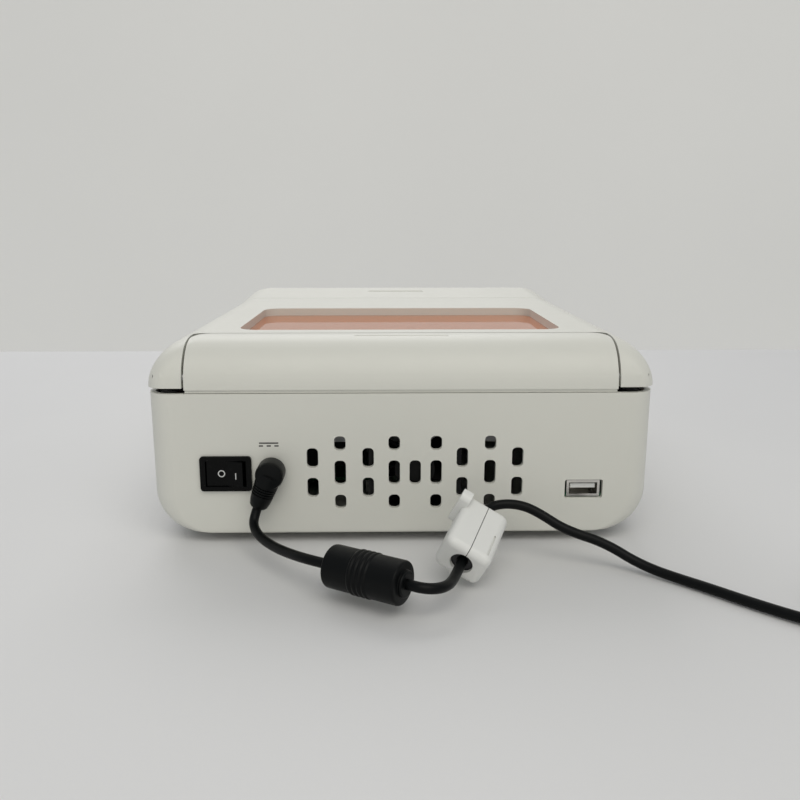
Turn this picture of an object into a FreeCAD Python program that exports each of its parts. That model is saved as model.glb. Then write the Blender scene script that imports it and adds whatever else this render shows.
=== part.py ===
import FreeCAD, Part
import math
import os
import Sketcher

# Benchtop gel electrophoresis unit with a hinged viewer lid, in its own frame:
# +X to the right of someone at the front, +Y towards the rear panel, +Z up, and the origin
# on the bench under the middle of the case. Lengths are in mm and angles in degrees.

DIMENSIONS = {
    # case
    "case_width": 216.0,
    "case_depth": 286.0,
    "case_corner": 10.5,
    "wall": 2.5,
    "foot_height": 4.4,
    "base_height": 62.3,
    "base_side_round": 18.0,
    "base_edge_round": 1.2,
    "parting_gap": 1.6,
    "parting_run": 59.0,
    "front_wall_height": 32.0,
    "part_clearance": 0.3,
    "fit_clearance": 0.05,
    # lid, its hinge and the fixed cover between its ears
    "lid_thickness": 20.7,
    "lid_side_round": 20.2,
    "rear_round": 20.0,
    "lid_length": 190.0,
    "seam_gap": 1.0,
    "ear_width": 16.6,
    "cover_depth": 24.4,
    "cover_corner": 9.0,
    "cover_lip_inset": 1.3,
    "cover_lip_drop": 9.0,
    "hinge_inset": 4.5,
    "hinge_rise": 4.7,
    "hinge_pin_diameter": 4.0,
    "hinge_pin_length": 25.0,
    "hinge_boss_wall": 2.0,
    "ear_swing_radius": 6.0,
    "ear_boss_length": 12.0,
    # window
    "window_width": 149.0,
    "window_depth": 92.0,
    "window_corner": 9.0,
    "window_setback": 35.7,
    "window_recess": 4.0,
    "window_thickness": 3.0,
    "window_overlap": 3.5,
    "rim_wall": 2.0,
    "liner_thickness": 2.0,
    "liner_margin": 9.0,
    # console and display
    "console_rise": 3.3,
    "console_edge": 13.0,
    "crest_round": 24.0,
    "toe_round": 18.0,
    "slope_setback": 35.0,
    "toe_height": 46.0,
    "display_width": 92.0,
    "display_height": 36.0,
    "display_corner": 3.0,
    "glass_thickness": 1.1,
    "lcd_thickness": 3.2,
    "lcd_margin": 3.5,
    "carrier_thickness": 1.5,
    "dock_width": 6.0,
    "dock_depth": 0.5,
    "rear_dock_length": 42.0,
    "rear_dock_setback": 15.0,
    "front_dock_length": 37.0,
    "front_dock_setback": 221.0,
    # gel deck and light table
    "deck_drop": 1.2,
    "deck_thickness": 2.5,
    "bay_width": 137.0,
    "bay_length": 112.0,
    "bay_depth": 8.5,
    "bay_corner": 2.0,
    "bay_floor": 4.0,
    "bay_setback": 81.8,
    "filter_width": 122.0,
    "filter_length": 96.0,
    "filter_thickness": 2.0,
    "filter_ledge": 3.0,
    "light_rib_height": 4.0,
    "light_rib_inset": 1.8,
    "light_rib_width": 1.5,
    "diffuser_thickness": 3.0,
    "tray_width": 136.0,
    "tray_length": 108.0,
    "tray_depth": 12.0,
    "tray_wall": 2.0,
    "tray_flange": 11.0,
    "led_board_thickness": 1.6,
    "led_size": 3.5,
    "led_height": 1.6,
    "led_columns": 8.0,
    "led_rows": 6.0,
    "contact_width": 3.0,
    "contact_length": 70.0,
    "contact_height": 5.0,
    # bumpers and magnets
    "bumper_diameter": 6.0,
    "bumper_inset": 16.0,
    "magnet_diameter": 8.0,
    "magnet_thickness": 2.0,
    "magnet_inset": 24.0,
    "magnet_setback": 13.0,
    # posts and screws
    "post_diameter": 8.0,
    "post_joint_height": 45.0,
    "screw_diameter": 3.0,
    "screw_head_diameter": 5.6,
    "screw_head_height": 2.2,
    "screw_seat_height": 22.0,
    "screw_length": 31.0,
    "deck_post_inset": 13.0,
    "rear_post_setback": 35.0,
    "middle_post_setback": 123.0,
    "front_post_setback": 11.0,
    "console_post_inset": 48.0,
    "console_post_setback": 16.0,
    "console_joint_height": 24.0,
    "console_screw_seat": 10.0,
    "console_screw_length": 20.0,
    "small_screw_diameter": 2.5,
    "small_head_diameter": 4.6,
    "small_head_height": 1.6,
    "small_screw_length": 6.0,
    # feet
    "foot_diameter": 16.0,
    "foot_edge": 0.8,
    "foot_stub_diameter": 5.0,
    "foot_side_inset": 30.0,
    "foot_end_inset": 25.0,
    # vents
    "vent_centre_x": -5.7,
    "vent_centre_z": 32.0,
    "vent_width": 4.9,
    "vent_corner": 1.9,
    "vent_inner_pitch": 9.0,
    "vent_second_pitch": 20.2,
    "vent_third_pitch": 32.2,
    "vent_outer_pitch": 44.0,
    "vent_long": 10.75,
    "vent_medium": 8.7,
    "vent_short": 6.2,
    "vent_medium_rise": 6.6,
    "vent_short_rise": 13.05,
    # fan
    "fan_size": 40.0,
    "fan_depth": 15.0,
    "fan_bore": 37.6,
    "fan_wall_gap": 0.3,
    "fan_hub_diameter": 18.0,
    "fan_tip_gap": 0.8,
    "fan_blades": 7.0,
    "fan_blade_thickness": 1.2,
    "fan_blade_pitch": 38.0,
    "fan_hole_spacing": 32.0,
    "fan_hole_diameter": 3.4,
    "fan_shaft_diameter": 2.0,
    # power switch
    "switch_inset": 32.7,
    "switch_z": 32.0,
    "bezel_width": 22.0,
    "bezel_height": 15.4,
    "bezel_corner": 1.5,
    "bezel_proud": 1.2,
    "switch_body_width": 19.4,
    "switch_body_height": 13.8,
    "switch_body_depth": 16.0,
    "paddle_half": 7.9,
    "paddle_height": 11.0,
    "paddle_tip": 2.6,
    "paddle_valley": 1.4,
    "paddle_keel": 4.5,
    "paddle_tilt": 8.0,
    "paddle_gap": 0.35,
    "pivot_depth": 1.0,
    "pivot_diameter": 2.4,
    "pivot_length": 0.8,
    "switch_well_depth": 8.0,
    "terminal_width": 4.8,
    "terminal_length": 8.0,
    # power socket and the plug in it
    "jack_inset": 52.4,
    "jack_z": 33.6,
    "jack_flange_diameter": 10.4,
    "jack_flange_thickness": 0.8,
    "jack_diameter": 8.0,
    "jack_depth": 14.0,
    "jack_bore_diameter": 5.8,
    "jack_pin_diameter": 2.0,
    "jack_pin_recess": 2.0,
    "barrel_diameter": 5.5,
    "barrel_bore_diameter": 2.5,
    "barrel_length": 9.5,
    "plug_head_diameter": 12.0,
    "plug_head_length": 9.5,
    "plug_head_round": 1.8,
    "plug_gap": 0.3,
    "sleeve_length": 15.4,
    "sleeve_wide": 10.2,
    "sleeve_narrow": 7.0,
    "sleeve_ribs": 4.0,
    # data port
    "port_inset": 29.2,
    "port_z": 24.1,
    "port_opening_width": 16.5,
    "port_opening_height": 8.3,
    "port_opening_corner": 0.8,
    "port_shell_width": 13.1,
    "port_shell_height": 5.9,
    "port_shell_wall": 0.4,
    "port_shell_depth": 14.0,
    "port_flare": 0.65,
    "port_recess": 1.2,
    "port_tongue_width": 10.8,
    "port_tongue_height": 1.9,
    "port_board_width": 26.0,
    "port_board_depth": 22.0,
    # boards
    "board_thickness": 1.6,
    "standoff_height": 7.0,
    "standoff_diameter": 6.0,
    "main_board_width": 120.0,
    "main_board_length": 70.0,
    "main_board_setback": 63.0,
    "power_board_width": 80.0,
    "power_board_length": 84.0,
    "power_board_inset": 58.0,
    "power_board_setback": 87.0,
    "board_hole_inset": 4.0,
    # lead
    "lead_diameter": 4.0,
    "core_sleeve_diameter": 16.4,
    "core_sleeve_collar": 12.6,
    "core_sleeve_rib": 0.5,
    "clip_width": 19.0,
    "clip_height": 15.8,
    "clip_round": 2.6,
    "clip_wall": 1.6,
    "clip_split_gap": 0.3,
    "clip_roll": 119.5,
    "clip_hinge_diameter": 3.8,
    "clip_lug_thickness": 2.6,
    "clip_lug_rise": 3.6,
    "clip_latch_width": 0.8,
    "clip_pin_diameter": 1.8,
    "coil_radius": 22.5,
    "coil_bundle_width": 12.0,
    "coil_bundle_height": 8.0,
    "coil_rest": 1.0,
    "tie_width": 6.0,
    "tie_thickness": 0.6,
    "connector_diameter": 11.0,
    "connector_length": 36.0,
    "connector_bore": 5.6,
}

doc = FreeCAD.newDocument("gel_electrophoresis_unit")
sheet = doc.addObject("Spreadsheet::Sheet", "sizes")
for row, (alias, value) in enumerate(DIMENSIONS.items(), start=1):
    sheet.set(f"A{row}", alias)
    sheet.set(f"B{row}", str(value))
    sheet.setAlias(f"B{row}", alias)
doc.recompute()

Vector = FreeCAD.Vector
AXES = {"x": Vector(1, 0, 0), "y": Vector(0, 1, 0), "z": Vector(0, 0, 1)}


class Size:
    """A length or angle that knows its value and the sheet expression that it stands for."""

    def __init__(self, value, text):
        self.value = value
        self.text = text

    def __add__(self, other):
        other = sized(other)
        return Size(self.value + other.value, f"({self.text} + {other.text})")

    def __sub__(self, other):
        other = sized(other)
        return Size(self.value - other.value, f"({self.text} - {other.text})")

    def __mul__(self, other):
        other = sized(other)
        return Size(self.value * other.value, f"({self.text} * {other.text})")

    def __truediv__(self, other):
        other = sized(other)
        return Size(self.value / other.value, f"({self.text} / {other.text})")

    def __neg__(self):
        return Size(-self.value, f"(0 - {self.text})")

    def __rsub__(self, other):
        return sized(other) - self

    __radd__ = __add__
    __rmul__ = __mul__


def sized(number):
    return number if isinstance(number, Size) else Size(float(number), f"{float(number):.6f}")


class Sheet:
    """The driving dimensions, read back from the document's sheet by name."""


S = Sheet()
for alias in DIMENSIONS:
    setattr(S, alias, Size(float(sheet.get(alias)), f"sizes.{alias}"))

ZERO = sized(0)
half_width = S.case_width / 2
rear = S.case_depth / 2
front = -rear
base_bottom = S.foot_height
base_top = base_bottom + S.base_height
floor_top = base_bottom + S.wall
lid_bottom = base_top + S.parting_gap
lid_top = lid_bottom + S.lid_thickness
lid_front = rear - S.lid_length
cover_side = half_width - S.ear_width
cover_front = rear - S.cover_depth
hinge_y = rear - S.hinge_inset
hinge_z = lid_bottom + S.hinge_rise
front_top = base_bottom + S.front_wall_height
parting_slope = (base_top - front_top) / S.parting_run
parting_bend = front + S.parting_run
foot_x, foot_y = half_width - S.foot_side_inset, rear - S.foot_end_inset
switch_x = half_width - S.switch_inset
jack_x = half_width - S.jack_inset
port_x = S.port_inset - half_width
bumper_x = half_width - S.bumper_inset
magnet_x, magnet_y = half_width - S.magnet_inset, lid_front + S.magnet_setback

SUBPARTS = []


# Helpers for the document's objects


def bind(thing, prop, size):
    thing.setExpression(prop, size.text)


def block(name, x, y, z):
    """A box between (low, high) pairs."""
    box = doc.addObject("Part::Box", name)
    for prop, axis, (low, high) in (("Length", "x", x), ("Width", "y", y), ("Height", "z", z)):
        low, high = sized(low), sized(high)
        bind(box, prop, high - low)
        bind(box, f"Placement.Base.{axis}", low)
    return box


def rod(name, axis, at, radius, low, high):
    """A cylinder along x, y or z between low and high; at is its place on the other two axes."""
    low, high = sized(low), sized(high)
    cylinder = doc.addObject("Part::Cylinder", name)
    bind(cylinder, "Radius", radius)
    bind(cylinder, "Height", high - low)
    cylinder.Placement = FreeCAD.Placement(Vector(0, 0, 0), FreeCAD.Rotation(AXES["z"], AXES[axis]))
    places = dict(zip([a for a in "xyz" if a != axis], at))
    places[axis] = low
    for letter, place in places.items():
        bind(cylinder, f"Placement.Base.{letter}", sized(place))
    return cylinder


def fuse(name, *parts):
    joined = doc.addObject("Part::MultiFuse", name)
    joined.Shapes = list(parts)
    return joined


def cut(name, base, *tools):
    tool = tools[0] if len(tools) == 1 else fuse(name + "_tools", *tools)
    result = doc.addObject("Part::Cut", name)
    result.Base = base
    result.Tool = tool
    return result


def common(name, first, second):
    result = doc.addObject("Part::Common", name)
    result.Base = first
    result.Tool = second
    return result


def group(name, parts):
    together = doc.addObject("Part::Compound", name)
    together.Links = list(parts)
    return together


def mirrored(name, source, normal):
    copy = doc.addObject("Part::Mirroring", name)
    copy.Source = source
    copy.Normal = normal
    return copy


def four_ways(name, source):
    """The source and its mirror images across the case's two middle planes."""
    pair = group(name + "_pair", [source, mirrored(name + "_left", source, AXES["x"])])
    return group(name, [pair, mirrored(name + "_front", pair, AXES["y"])])


def new_sketch(body, name, role, offset=ZERO):
    """A sketch on one of the body's origin planes, moved along the plane's normal."""
    sketch = body.newObject("Sketcher::SketchObject", name)
    plane = next(f for f in body.Origin.OriginFeatures if f.Role == role)
    sketch.AttachmentSupport = (plane, [""])
    sketch.MapMode = "FlatFace"
    bind(sketch, "AttachmentOffset.Base.z", offset)
    return sketch


def constrain(sketch, kind, *where, size=None):
    if size is None:
        return sketch.addConstraint(Sketcher.Constraint(kind, *where))
    index = sketch.addConstraint(Sketcher.Constraint(kind, *where, size.value))
    sketch.setExpression(f"Constraints[{index}]", size.text)
    return index


def draw_polygon(sketch, points):
    """A closed outline of straight lines with every corner placed from the sheet."""
    points = [(sized(x), sized(y)) for x, y in points]
    count = len(points)
    corners = [Vector(x.value, y.value, 0) for x, y in points]
    for i in range(count):
        sketch.addGeometry(Part.LineSegment(corners[i], corners[(i + 1) % count]))
    for i, (x, y) in enumerate(points):
        constrain(sketch, "Coincident", i, 2, (i + 1) % count, 1)
        for kind, place in (("DistanceX", x), ("DistanceY", y)):
            constrain(sketch, kind, -1, 1, i, 1, size=place)


def draw_rounded(sketch, centre, width, height, corner):
    """A rectangle with round corners, dimensioned from the origin."""
    cx, cy = (sized(c) for c in centre)
    left, right = cx - width / 2, cx + width / 2
    low, high = cy - height / 2, cy + height / 2
    r = corner.value
    x0, x1, y0, y1 = left.value, right.value, low.value, high.value
    lines = [
        ((x0 + r, y0), (x1 - r, y0)),
        ((x1, y0 + r), (x1, y1 - r)),
        ((x1 - r, y1), (x0 + r, y1)),
        ((x0, y1 - r), (x0, y0 + r)),
    ]
    for start, end in lines:
        sketch.addGeometry(Part.LineSegment(Vector(*start, 0), Vector(*end, 0)))
    arcs = [((x1 - r, y0 + r), -90), ((x1 - r, y1 - r), 0), ((x0 + r, y1 - r), 90), ((x0 + r, y0 + r), 180)]
    for (ax, ay), start in arcs:
        circle = Part.Circle(Vector(ax, ay, 0), AXES["z"], r)
        sketch.addGeometry(Part.ArcOfCircle(circle, math.radians(start), math.radians(start + 90)))
    for i in range(4):
        constrain(sketch, "Tangent", i, 2, 4 + i, 1)
        constrain(sketch, "Tangent", 4 + i, 2, (i + 1) % 4, 1)
        constrain(sketch, "Vertical" if i % 2 else "Horizontal", i)
    for i in (5, 6, 7):
        constrain(sketch, "Equal", 4, i)
    constrain(sketch, "Radius", 4, size=corner)
    constrain(sketch, "DistanceX", -1, 1, 3, 1, size=left)
    constrain(sketch, "DistanceX", -1, 1, 1, 1, size=right)
    constrain(sketch, "DistanceY", -1, 1, 0, 1, size=low)
    constrain(sketch, "DistanceY", -1, 1, 2, 1, size=high)


PLANES = {"x": "YZ_Plane", "y": "XZ_Plane", "z": "XY_Plane"}


def padded(name, axis, low, high, draw, *shape):
    """A body with one sketch padded along an axis between low and high."""
    low, high = sized(low), sized(high)
    body = doc.addObject("PartDesign::Body", name)
    offset = -high if axis == "y" else low
    sketch = new_sketch(body, name + "_sketch", PLANES[axis], offset)
    draw(sketch, *shape)
    pad = body.newObject("PartDesign::Pad", name + "_pad")
    pad.Profile = sketch
    bind(pad, "Length", high - low)
    return body


def prism(name, axis, points, low, high):
    return padded(name, axis, low, high, draw_polygon, points)


def plate(name, axis, centre, width, height, corner, low, high):
    return padded(name, axis, low, high, draw_rounded, centre, width, height, corner)


def turned(name, points):
    """A body turned about its own Z axis from an outline of (radius, height) corners."""
    body = doc.addObject("PartDesign::Body", name)
    sketch = new_sketch(body, name + "_sketch", "XZ_Plane")
    draw_polygon(sketch, points)
    turn = body.newObject("PartDesign::Revolution", name + "_turn")
    turn.Profile = sketch
    turn.ReferenceAxis = (sketch, ["V_Axis"])
    turn.Angle = 360
    return body


def edges_where(shape, test):
    return [i for i, edge in enumerate(shape.Edges, start=1) if test(edge.BoundBox)]


def rounded(name, base, *choices):
    """Fillets on the edges that each (test, radius) pair picks from the base's shape."""
    doc.recompute()
    fillet = doc.addObject("Part::Fillet", name)
    fillet.Base = base
    picked = []
    for test, radius in choices:
        picked += [(i, radius.value, radius.value) for i in edges_where(base.Shape, test)]
    fillet.Edges = picked
    return fillet


def hollowed(name, base, wall, open_face):
    """The base as a shell of one wall, open where its faces pass the test."""
    doc.recompute()
    shell = doc.addObject("Part::Thickness", name)
    faces = [f"Face{i}" for i, face in enumerate(base.Shape.Faces, start=1) if open_face(face.BoundBox)]
    shell.Faces = (base, faces)
    bind(shell, "Value", -wall)
    shell.Join = 0
    return shell


def near(value, size):
    return abs(value - size.value) < 0.01


def keep(thing, node):
    """Names a finished sub-part after its node."""
    thing.Label = node
    SUBPARTS.append(thing)
    return thing


def place(thing, base, rotation):
    thing.Placement = FreeCAD.Placement(base, rotation)
    return thing


def screw(name, at, seat, length, head_diameter, head_height, diameter, up=1):
    """A pan head screw along Z whose head bears on the seat; up is the way its shank points."""
    if up > 0:
        head = rod(name + "_head", "z", at, head_diameter / 2, seat - head_height, seat)
        shank = rod(name + "_shank", "z", at, diameter / 2, seat, seat + length)
    else:
        head = rod(name + "_head", "z", at, head_diameter / 2, seat, seat + head_height)
        shank = rod(name + "_shank", "z", at, diameter / 2, seat - length, seat)
    return fuse(name, head, shank)


def hole_radius(diameter):
    return diameter / 2 + S.fit_clearance


# Case base


DECK_POSTS = [
    (side * (half_width - S.deck_post_inset), y)
    for y in (rear - S.rear_post_setback, rear - S.middle_post_setback, lid_front + S.front_post_setback)
    for side in (1, -1)
]
CONSOLE_POSTS = [
    (side * (half_width - S.console_post_inset), front + S.console_post_setback) for side in (1, -1)
]


def case_block(name, inset, bottom, top):
    """The case's plan with upright corners, crossed with its section with round lower sides."""
    side, end = half_width - inset, rear - inset
    plan = plate(name + "_plan", "z", (0, 0), side * 2, end * 2, S.case_corner - inset, bottom, top)
    section = prism(
        name + "_section", "y", [(-side, bottom), (side, bottom), (side, top), (-side, top)], -end, end
    )
    round_sides = rounded(
        name + "_sides",
        section,
        (lambda b: b.YLength > 1 and near(b.ZMax, bottom), S.base_side_round - inset),
    )
    return common(name, plan, round_sides)


def parting_prism(name, rise):
    """What lies over the parting line, raised by rise: level from the rear, then down to the front."""
    far = S.case_depth + S.case_width
    level = base_top + rise
    return prism(
        name,
        "x",
        [
            (far, level),
            (far, far),
            (-far, far),
            (-far, level - (far + parting_bend) * parting_slope),
            (parting_bend, level),
        ],
        -far,
        far,
    )


def vent_slots():
    """Slots in nine columns: one long slot in the middle, then pairs of columns beside it."""
    columns = [(ZERO, [(ZERO, S.vent_long)])]
    threes = [(ZERO, S.vent_long), (S.vent_short_rise, S.vent_short), (-S.vent_short_rise, S.vent_short)]
    twos = [(S.vent_medium_rise, S.vent_medium), (-S.vent_medium_rise, S.vent_medium)]
    pairs = [
        (S.vent_inner_pitch, threes),
        (S.vent_second_pitch, twos),
        (S.vent_third_pitch, threes),
        (S.vent_outer_pitch, twos),
    ]
    for pitch, slots in pairs:
        columns += [(pitch, slots), (-pitch, slots)]
    made = []
    for column, (x, slots) in enumerate(columns):
        for level, (z, height) in enumerate(slots):
            centre = (S.vent_centre_x + x, S.vent_centre_z + z)
            name = f"vent_{column}_{level}"
            made.append(
                plate(name, "y", centre, S.vent_width, height, S.vent_corner, rear - S.wall * 2, rear + 1)
            )
    return made


def make_base_shell():
    outer = case_block("base_outer", ZERO, base_bottom, base_top)
    cavity = case_block("base_cavity", S.wall, floor_top, base_top + S.wall)
    posts, holes = [], []
    rows = [(DECK_POSTS, S.post_joint_height, S.screw_seat_height)]
    rows.append((CONSOLE_POSTS, S.console_joint_height, S.console_screw_seat))
    for places, joint, seat in rows:
        for at in places:
            name = f"base_post_{len(posts)}"
            posts.append(rod(name, "z", at, S.post_diameter / 2, base_bottom + S.wall / 2, joint))
            holes.append(rod(name + "_hole", "z", at, hole_radius(S.screw_diameter), base_bottom - 1, joint + 1))
            head = S.screw_head_diameter / 2 + S.part_clearance
            holes.append(rod(name + "_counterbore", "z", at, head, base_bottom - 1, seat))
    for board_x, board_y, width, length in BOARDS:
        for x, y in board_holes(board_x, board_y, width, length):
            name = f"standoff_{len(posts)}"
            top = floor_top + S.standoff_height
            posts.append(rod(name, "z", (x, y), S.standoff_diameter / 2, base_bottom + S.wall / 2, top))
            bore = hole_radius(S.small_screw_diameter)
            holes.append(rod(name + "_bore", "z", (x, y), bore, top - S.small_screw_length, top + 1))
    stub = rod(
        "foot_hole", "z", (foot_x, foot_y), hole_radius(S.foot_stub_diameter), base_bottom - 1, floor_top + 1
    )
    holes.append(four_ways("foot_holes", stub))
    holes += vent_slots()
    holes.append(
        plate(
            "switch_cutout", "y", (switch_x, S.switch_z),
            S.switch_body_width + S.part_clearance, S.switch_body_height + S.part_clearance,
            S.bezel_corner, rear - S.wall * 2, rear + 1,
        )
    )
    jack_hole = S.jack_diameter / 2 + S.part_clearance / 2
    holes.append(rod("jack_hole", "y", (jack_x, S.jack_z), jack_hole, rear - S.wall * 2, rear + 1))
    holes.append(
        plate(
            "port_cutout", "y", (port_x, S.port_z), S.port_opening_width, S.port_opening_height,
            S.port_opening_corner, rear - S.wall * 2, rear + 1,
        )
    )
    shell = cut("base_tub", outer, cavity)
    shell = fuse("base_with_posts", shell, *posts)
    above = parting_prism("above_base", ZERO)
    keep(cut("base_body", shell, above, *holes), "base_shell")


def board_holes(x, y, width, length):
    dx, dy = width / 2 - S.board_hole_inset, length / 2 - S.board_hole_inset
    return [(sized(x) + sx * dx, sized(y) + sy * dy) for sx in (1, -1) for sy in (1, -1)]


BOARDS = [
    (ZERO, front + S.main_board_setback, S.main_board_width, S.main_board_length),
    (half_width - S.power_board_inset, rear - S.power_board_setback, S.power_board_width, S.power_board_length),
]


def make_feet():
    radius = S.foot_diameter / 2
    stub = S.foot_stub_diameter / 2
    foot = turned(
        "foot",
        [
            (0, 0),
            (radius - S.foot_edge, 0),
            (radius, S.foot_edge),
            (radius, base_bottom),
            (stub, base_bottom),
            (stub, floor_top),
            (0, floor_top),
        ],
    )
    bind(foot, "Placement.Base.x", foot_x)
    bind(foot, "Placement.Base.y", foot_y)
    keep(four_ways("feet", foot), "rubber_feet")


def make_case_screws():
    screws = []
    for places, seat, length in (
        (DECK_POSTS, S.screw_seat_height, S.screw_length),
        (CONSOLE_POSTS, S.console_screw_seat, S.console_screw_length),
    ):
        for at in places:
            name = f"case_screw_{len(screws)}"
            screws.append(
                screw(name, at, seat, length, S.screw_head_diameter, S.screw_head_height, S.screw_diameter)
            )
    keep(group("case_screw_set", screws), "case_screws")


# Gel deck with the bay that holds the cassette, the filter frame that is its floor, and the light
# table that clamps the frame up against the deck


deck_top = base_top - S.deck_drop
deck_under = deck_top - S.deck_thickness
bay_y = rear - S.bay_setback
bay_bottom = deck_top - S.bay_depth
bay_under = bay_bottom - S.bay_floor
deck_side = half_width - S.wall - S.part_clearance
deck_front = lid_front - S.wall * 2
cover_lip_front = rear - S.wall - S.cover_lip_inset - S.wall
deck_rear = cover_lip_front - S.part_clearance
diffuser_bottom = bay_under - S.diffuser_thickness
tray_bottom = diffuser_bottom - S.tray_depth


def make_gel_deck():
    top = plate(
        "deck_plate", "z", (0, (deck_front + deck_rear) / 2), deck_side * 2, deck_rear - deck_front,
        S.case_corner - S.wall, deck_under, deck_top,
    )
    bay_block = block(
        "bay_block",
        (-(S.bay_width / 2 + S.deck_thickness), S.bay_width / 2 + S.deck_thickness),
        (bay_y - S.bay_length / 2 - S.deck_thickness, bay_y + S.bay_length / 2 + S.deck_thickness),
        (bay_bottom, deck_top),
    )
    bay = plate("bay", "z", (0, bay_y), S.bay_width, S.bay_length, S.bay_corner, bay_bottom - 1, deck_top + 1)
    frame_x = S.bay_width / 2 + S.rim_wall / 2
    frame_y = S.bay_length / 2 + S.rim_wall / 2
    frame = block(
        "filter_frame_blank", (-frame_x, frame_x), (bay_y - frame_y, bay_y + frame_y), (bay_under, bay_bottom)
    )
    seat = block(
        "filter_seat",
        (-(S.filter_width / 2 + S.part_clearance), S.filter_width / 2 + S.part_clearance),
        (bay_y - S.filter_length / 2 - S.part_clearance, bay_y + S.filter_length / 2 + S.part_clearance),
        (bay_bottom - S.filter_thickness, bay_bottom + 1),
    )
    light = block(
        "light_opening",
        (-(S.filter_width / 2 - S.filter_ledge), S.filter_width / 2 - S.filter_ledge),
        (bay_y - S.filter_length / 2 + S.filter_ledge, bay_y + S.filter_length / 2 - S.filter_ledge),
        (bay_under - 1, bay_bottom),
    )
    keep(cut("filter_frame_body", frame, seat, light), "filter_frame")
    solid, holes = [top, bay_block], [bay]
    rib_outer = half_width - S.wall - S.light_rib_inset
    for side, name in ((1, "right"), (-1, "left")):
        xs = sorted(
            (side * rib_outer, side * (rib_outer - S.light_rib_width)), key=lambda size: size.value
        )
        solid.append(
            block(
                f"light_rib_{name}",
                tuple(xs),
                (lid_front + S.wall * 2, cover_front - S.cover_depth),
                (deck_under, deck_top + S.light_rib_height),
            )
        )
    for index, at in enumerate(DECK_POSTS):
        solid.append(
            rod(f"deck_boss_{index}", "z", at, S.post_diameter / 2, S.post_joint_height, deck_under + 1)
        )
        holes.append(
            rod(
                f"deck_boss_{index}_bore", "z", at, hole_radius(S.screw_diameter),
                S.post_joint_height - 1, S.screw_seat_height + S.screw_length + 1,
            )
        )
    for index, at in enumerate(tray_holes()):
        solid.append(
            rod(f"tray_boss_{index}", "z", at, S.standoff_diameter / 2, tray_flange_top, deck_under + 1)
        )
        bore = hole_radius(S.small_screw_diameter)
        holes.append(
            rod(f"tray_boss_{index}_bore", "z", at, bore, tray_flange_top - 1, tray_flange_top + S.small_screw_length)
        )
    for index, side in enumerate((1, -1)):
        holes.append(
            rod(
                f"catch_pocket_{index}", "z", (side * magnet_x, magnet_y),
                S.magnet_diameter / 2 + S.fit_clearance, deck_top - S.magnet_thickness, deck_top + 1,
            )
        )
    keep(cut("deck_body", fuse("deck_solid", *solid), *holes), "gel_deck")
    keep(
        block(
            "filter_sheet",
            (-S.filter_width / 2, S.filter_width / 2),
            (bay_y - S.filter_length / 2, bay_y + S.filter_length / 2),
            (bay_bottom - S.filter_thickness, bay_bottom),
        ),
        "blue_filter_glass",
    )


tray_flange_top = diffuser_bottom
tray_hole_x = S.tray_width / 2 + S.tray_flange / 2


def tray_holes():
    dy = S.tray_length / 2 - S.tray_flange
    return [(sx * tray_hole_x, bay_y + sy * dy) for sx in (1, -1) for sy in (1, -1)]


def make_light_table():
    half_x, half_y = S.tray_width / 2, S.tray_length / 2
    keep(
        block(
            "diffuser_plate", (-half_x, half_x), (bay_y - half_y, bay_y + half_y), (diffuser_bottom, bay_under)
        ),
        "diffuser_sheet",
    )
    outer = block("tray_outer", (-half_x, half_x), (bay_y - half_y, bay_y + half_y), (tray_bottom, diffuser_bottom))
    wing = half_x + S.tray_flange
    flange = block(
        "tray_flanges",
        (-wing, wing),
        (bay_y - half_y, bay_y + half_y),
        (tray_flange_top - S.tray_wall, tray_flange_top),
    )
    inner_x, inner_y = half_x - S.tray_wall, half_y - S.tray_wall
    hollow = block(
        "tray_hollow",
        (-inner_x, inner_x),
        (bay_y - inner_y, bay_y + inner_y),
        (tray_bottom + S.tray_wall, diffuser_bottom + 1),
    )
    holes = [
        rod(f"tray_hole_{i}", "z", at, hole_radius(S.small_screw_diameter), tray_bottom, diffuser_bottom + 1)
        for i, at in enumerate(tray_holes())
    ]
    keep(cut("tray_body", fuse("tray_solid", outer, flange), hollow, *holes), "led_tray")

    board_low = tray_bottom + S.tray_wall
    board_high = board_low + S.led_board_thickness
    edge = S.part_clearance
    parts = [
        block(
            "led_panel",
            (-(inner_x - edge), inner_x - edge),
            (bay_y - inner_y + edge, bay_y + inner_y - edge),
            (board_low, board_high),
        )
    ]
    columns, rows = int(S.led_columns.value), int(S.led_rows.value)
    for i in range(columns):
        for j in range(rows):
            x = S.tray_width * ((i + 0.5) / columns - 0.5)
            y = bay_y + S.tray_length * ((j + 0.5) / rows - 0.5)
            parts.append(
                block(
                    f"led_{i}_{j}",
                    (x - S.led_size / 2, x + S.led_size / 2),
                    (y - S.led_size / 2, y + S.led_size / 2),
                    (board_high - S.led_height / 4, board_high + S.led_height),
                )
            )
    keep(fuse("led_array", *parts), "led_board")
    screws = [
        screw(
            f"tray_screw_{i}", at, tray_flange_top - S.tray_wall, S.small_screw_length,
            S.small_head_diameter, S.small_head_height, S.small_screw_diameter,
        )
        for i, at in enumerate(tray_holes())
    ]
    keep(group("tray_screw_set", screws), "tray_screws")


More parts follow.
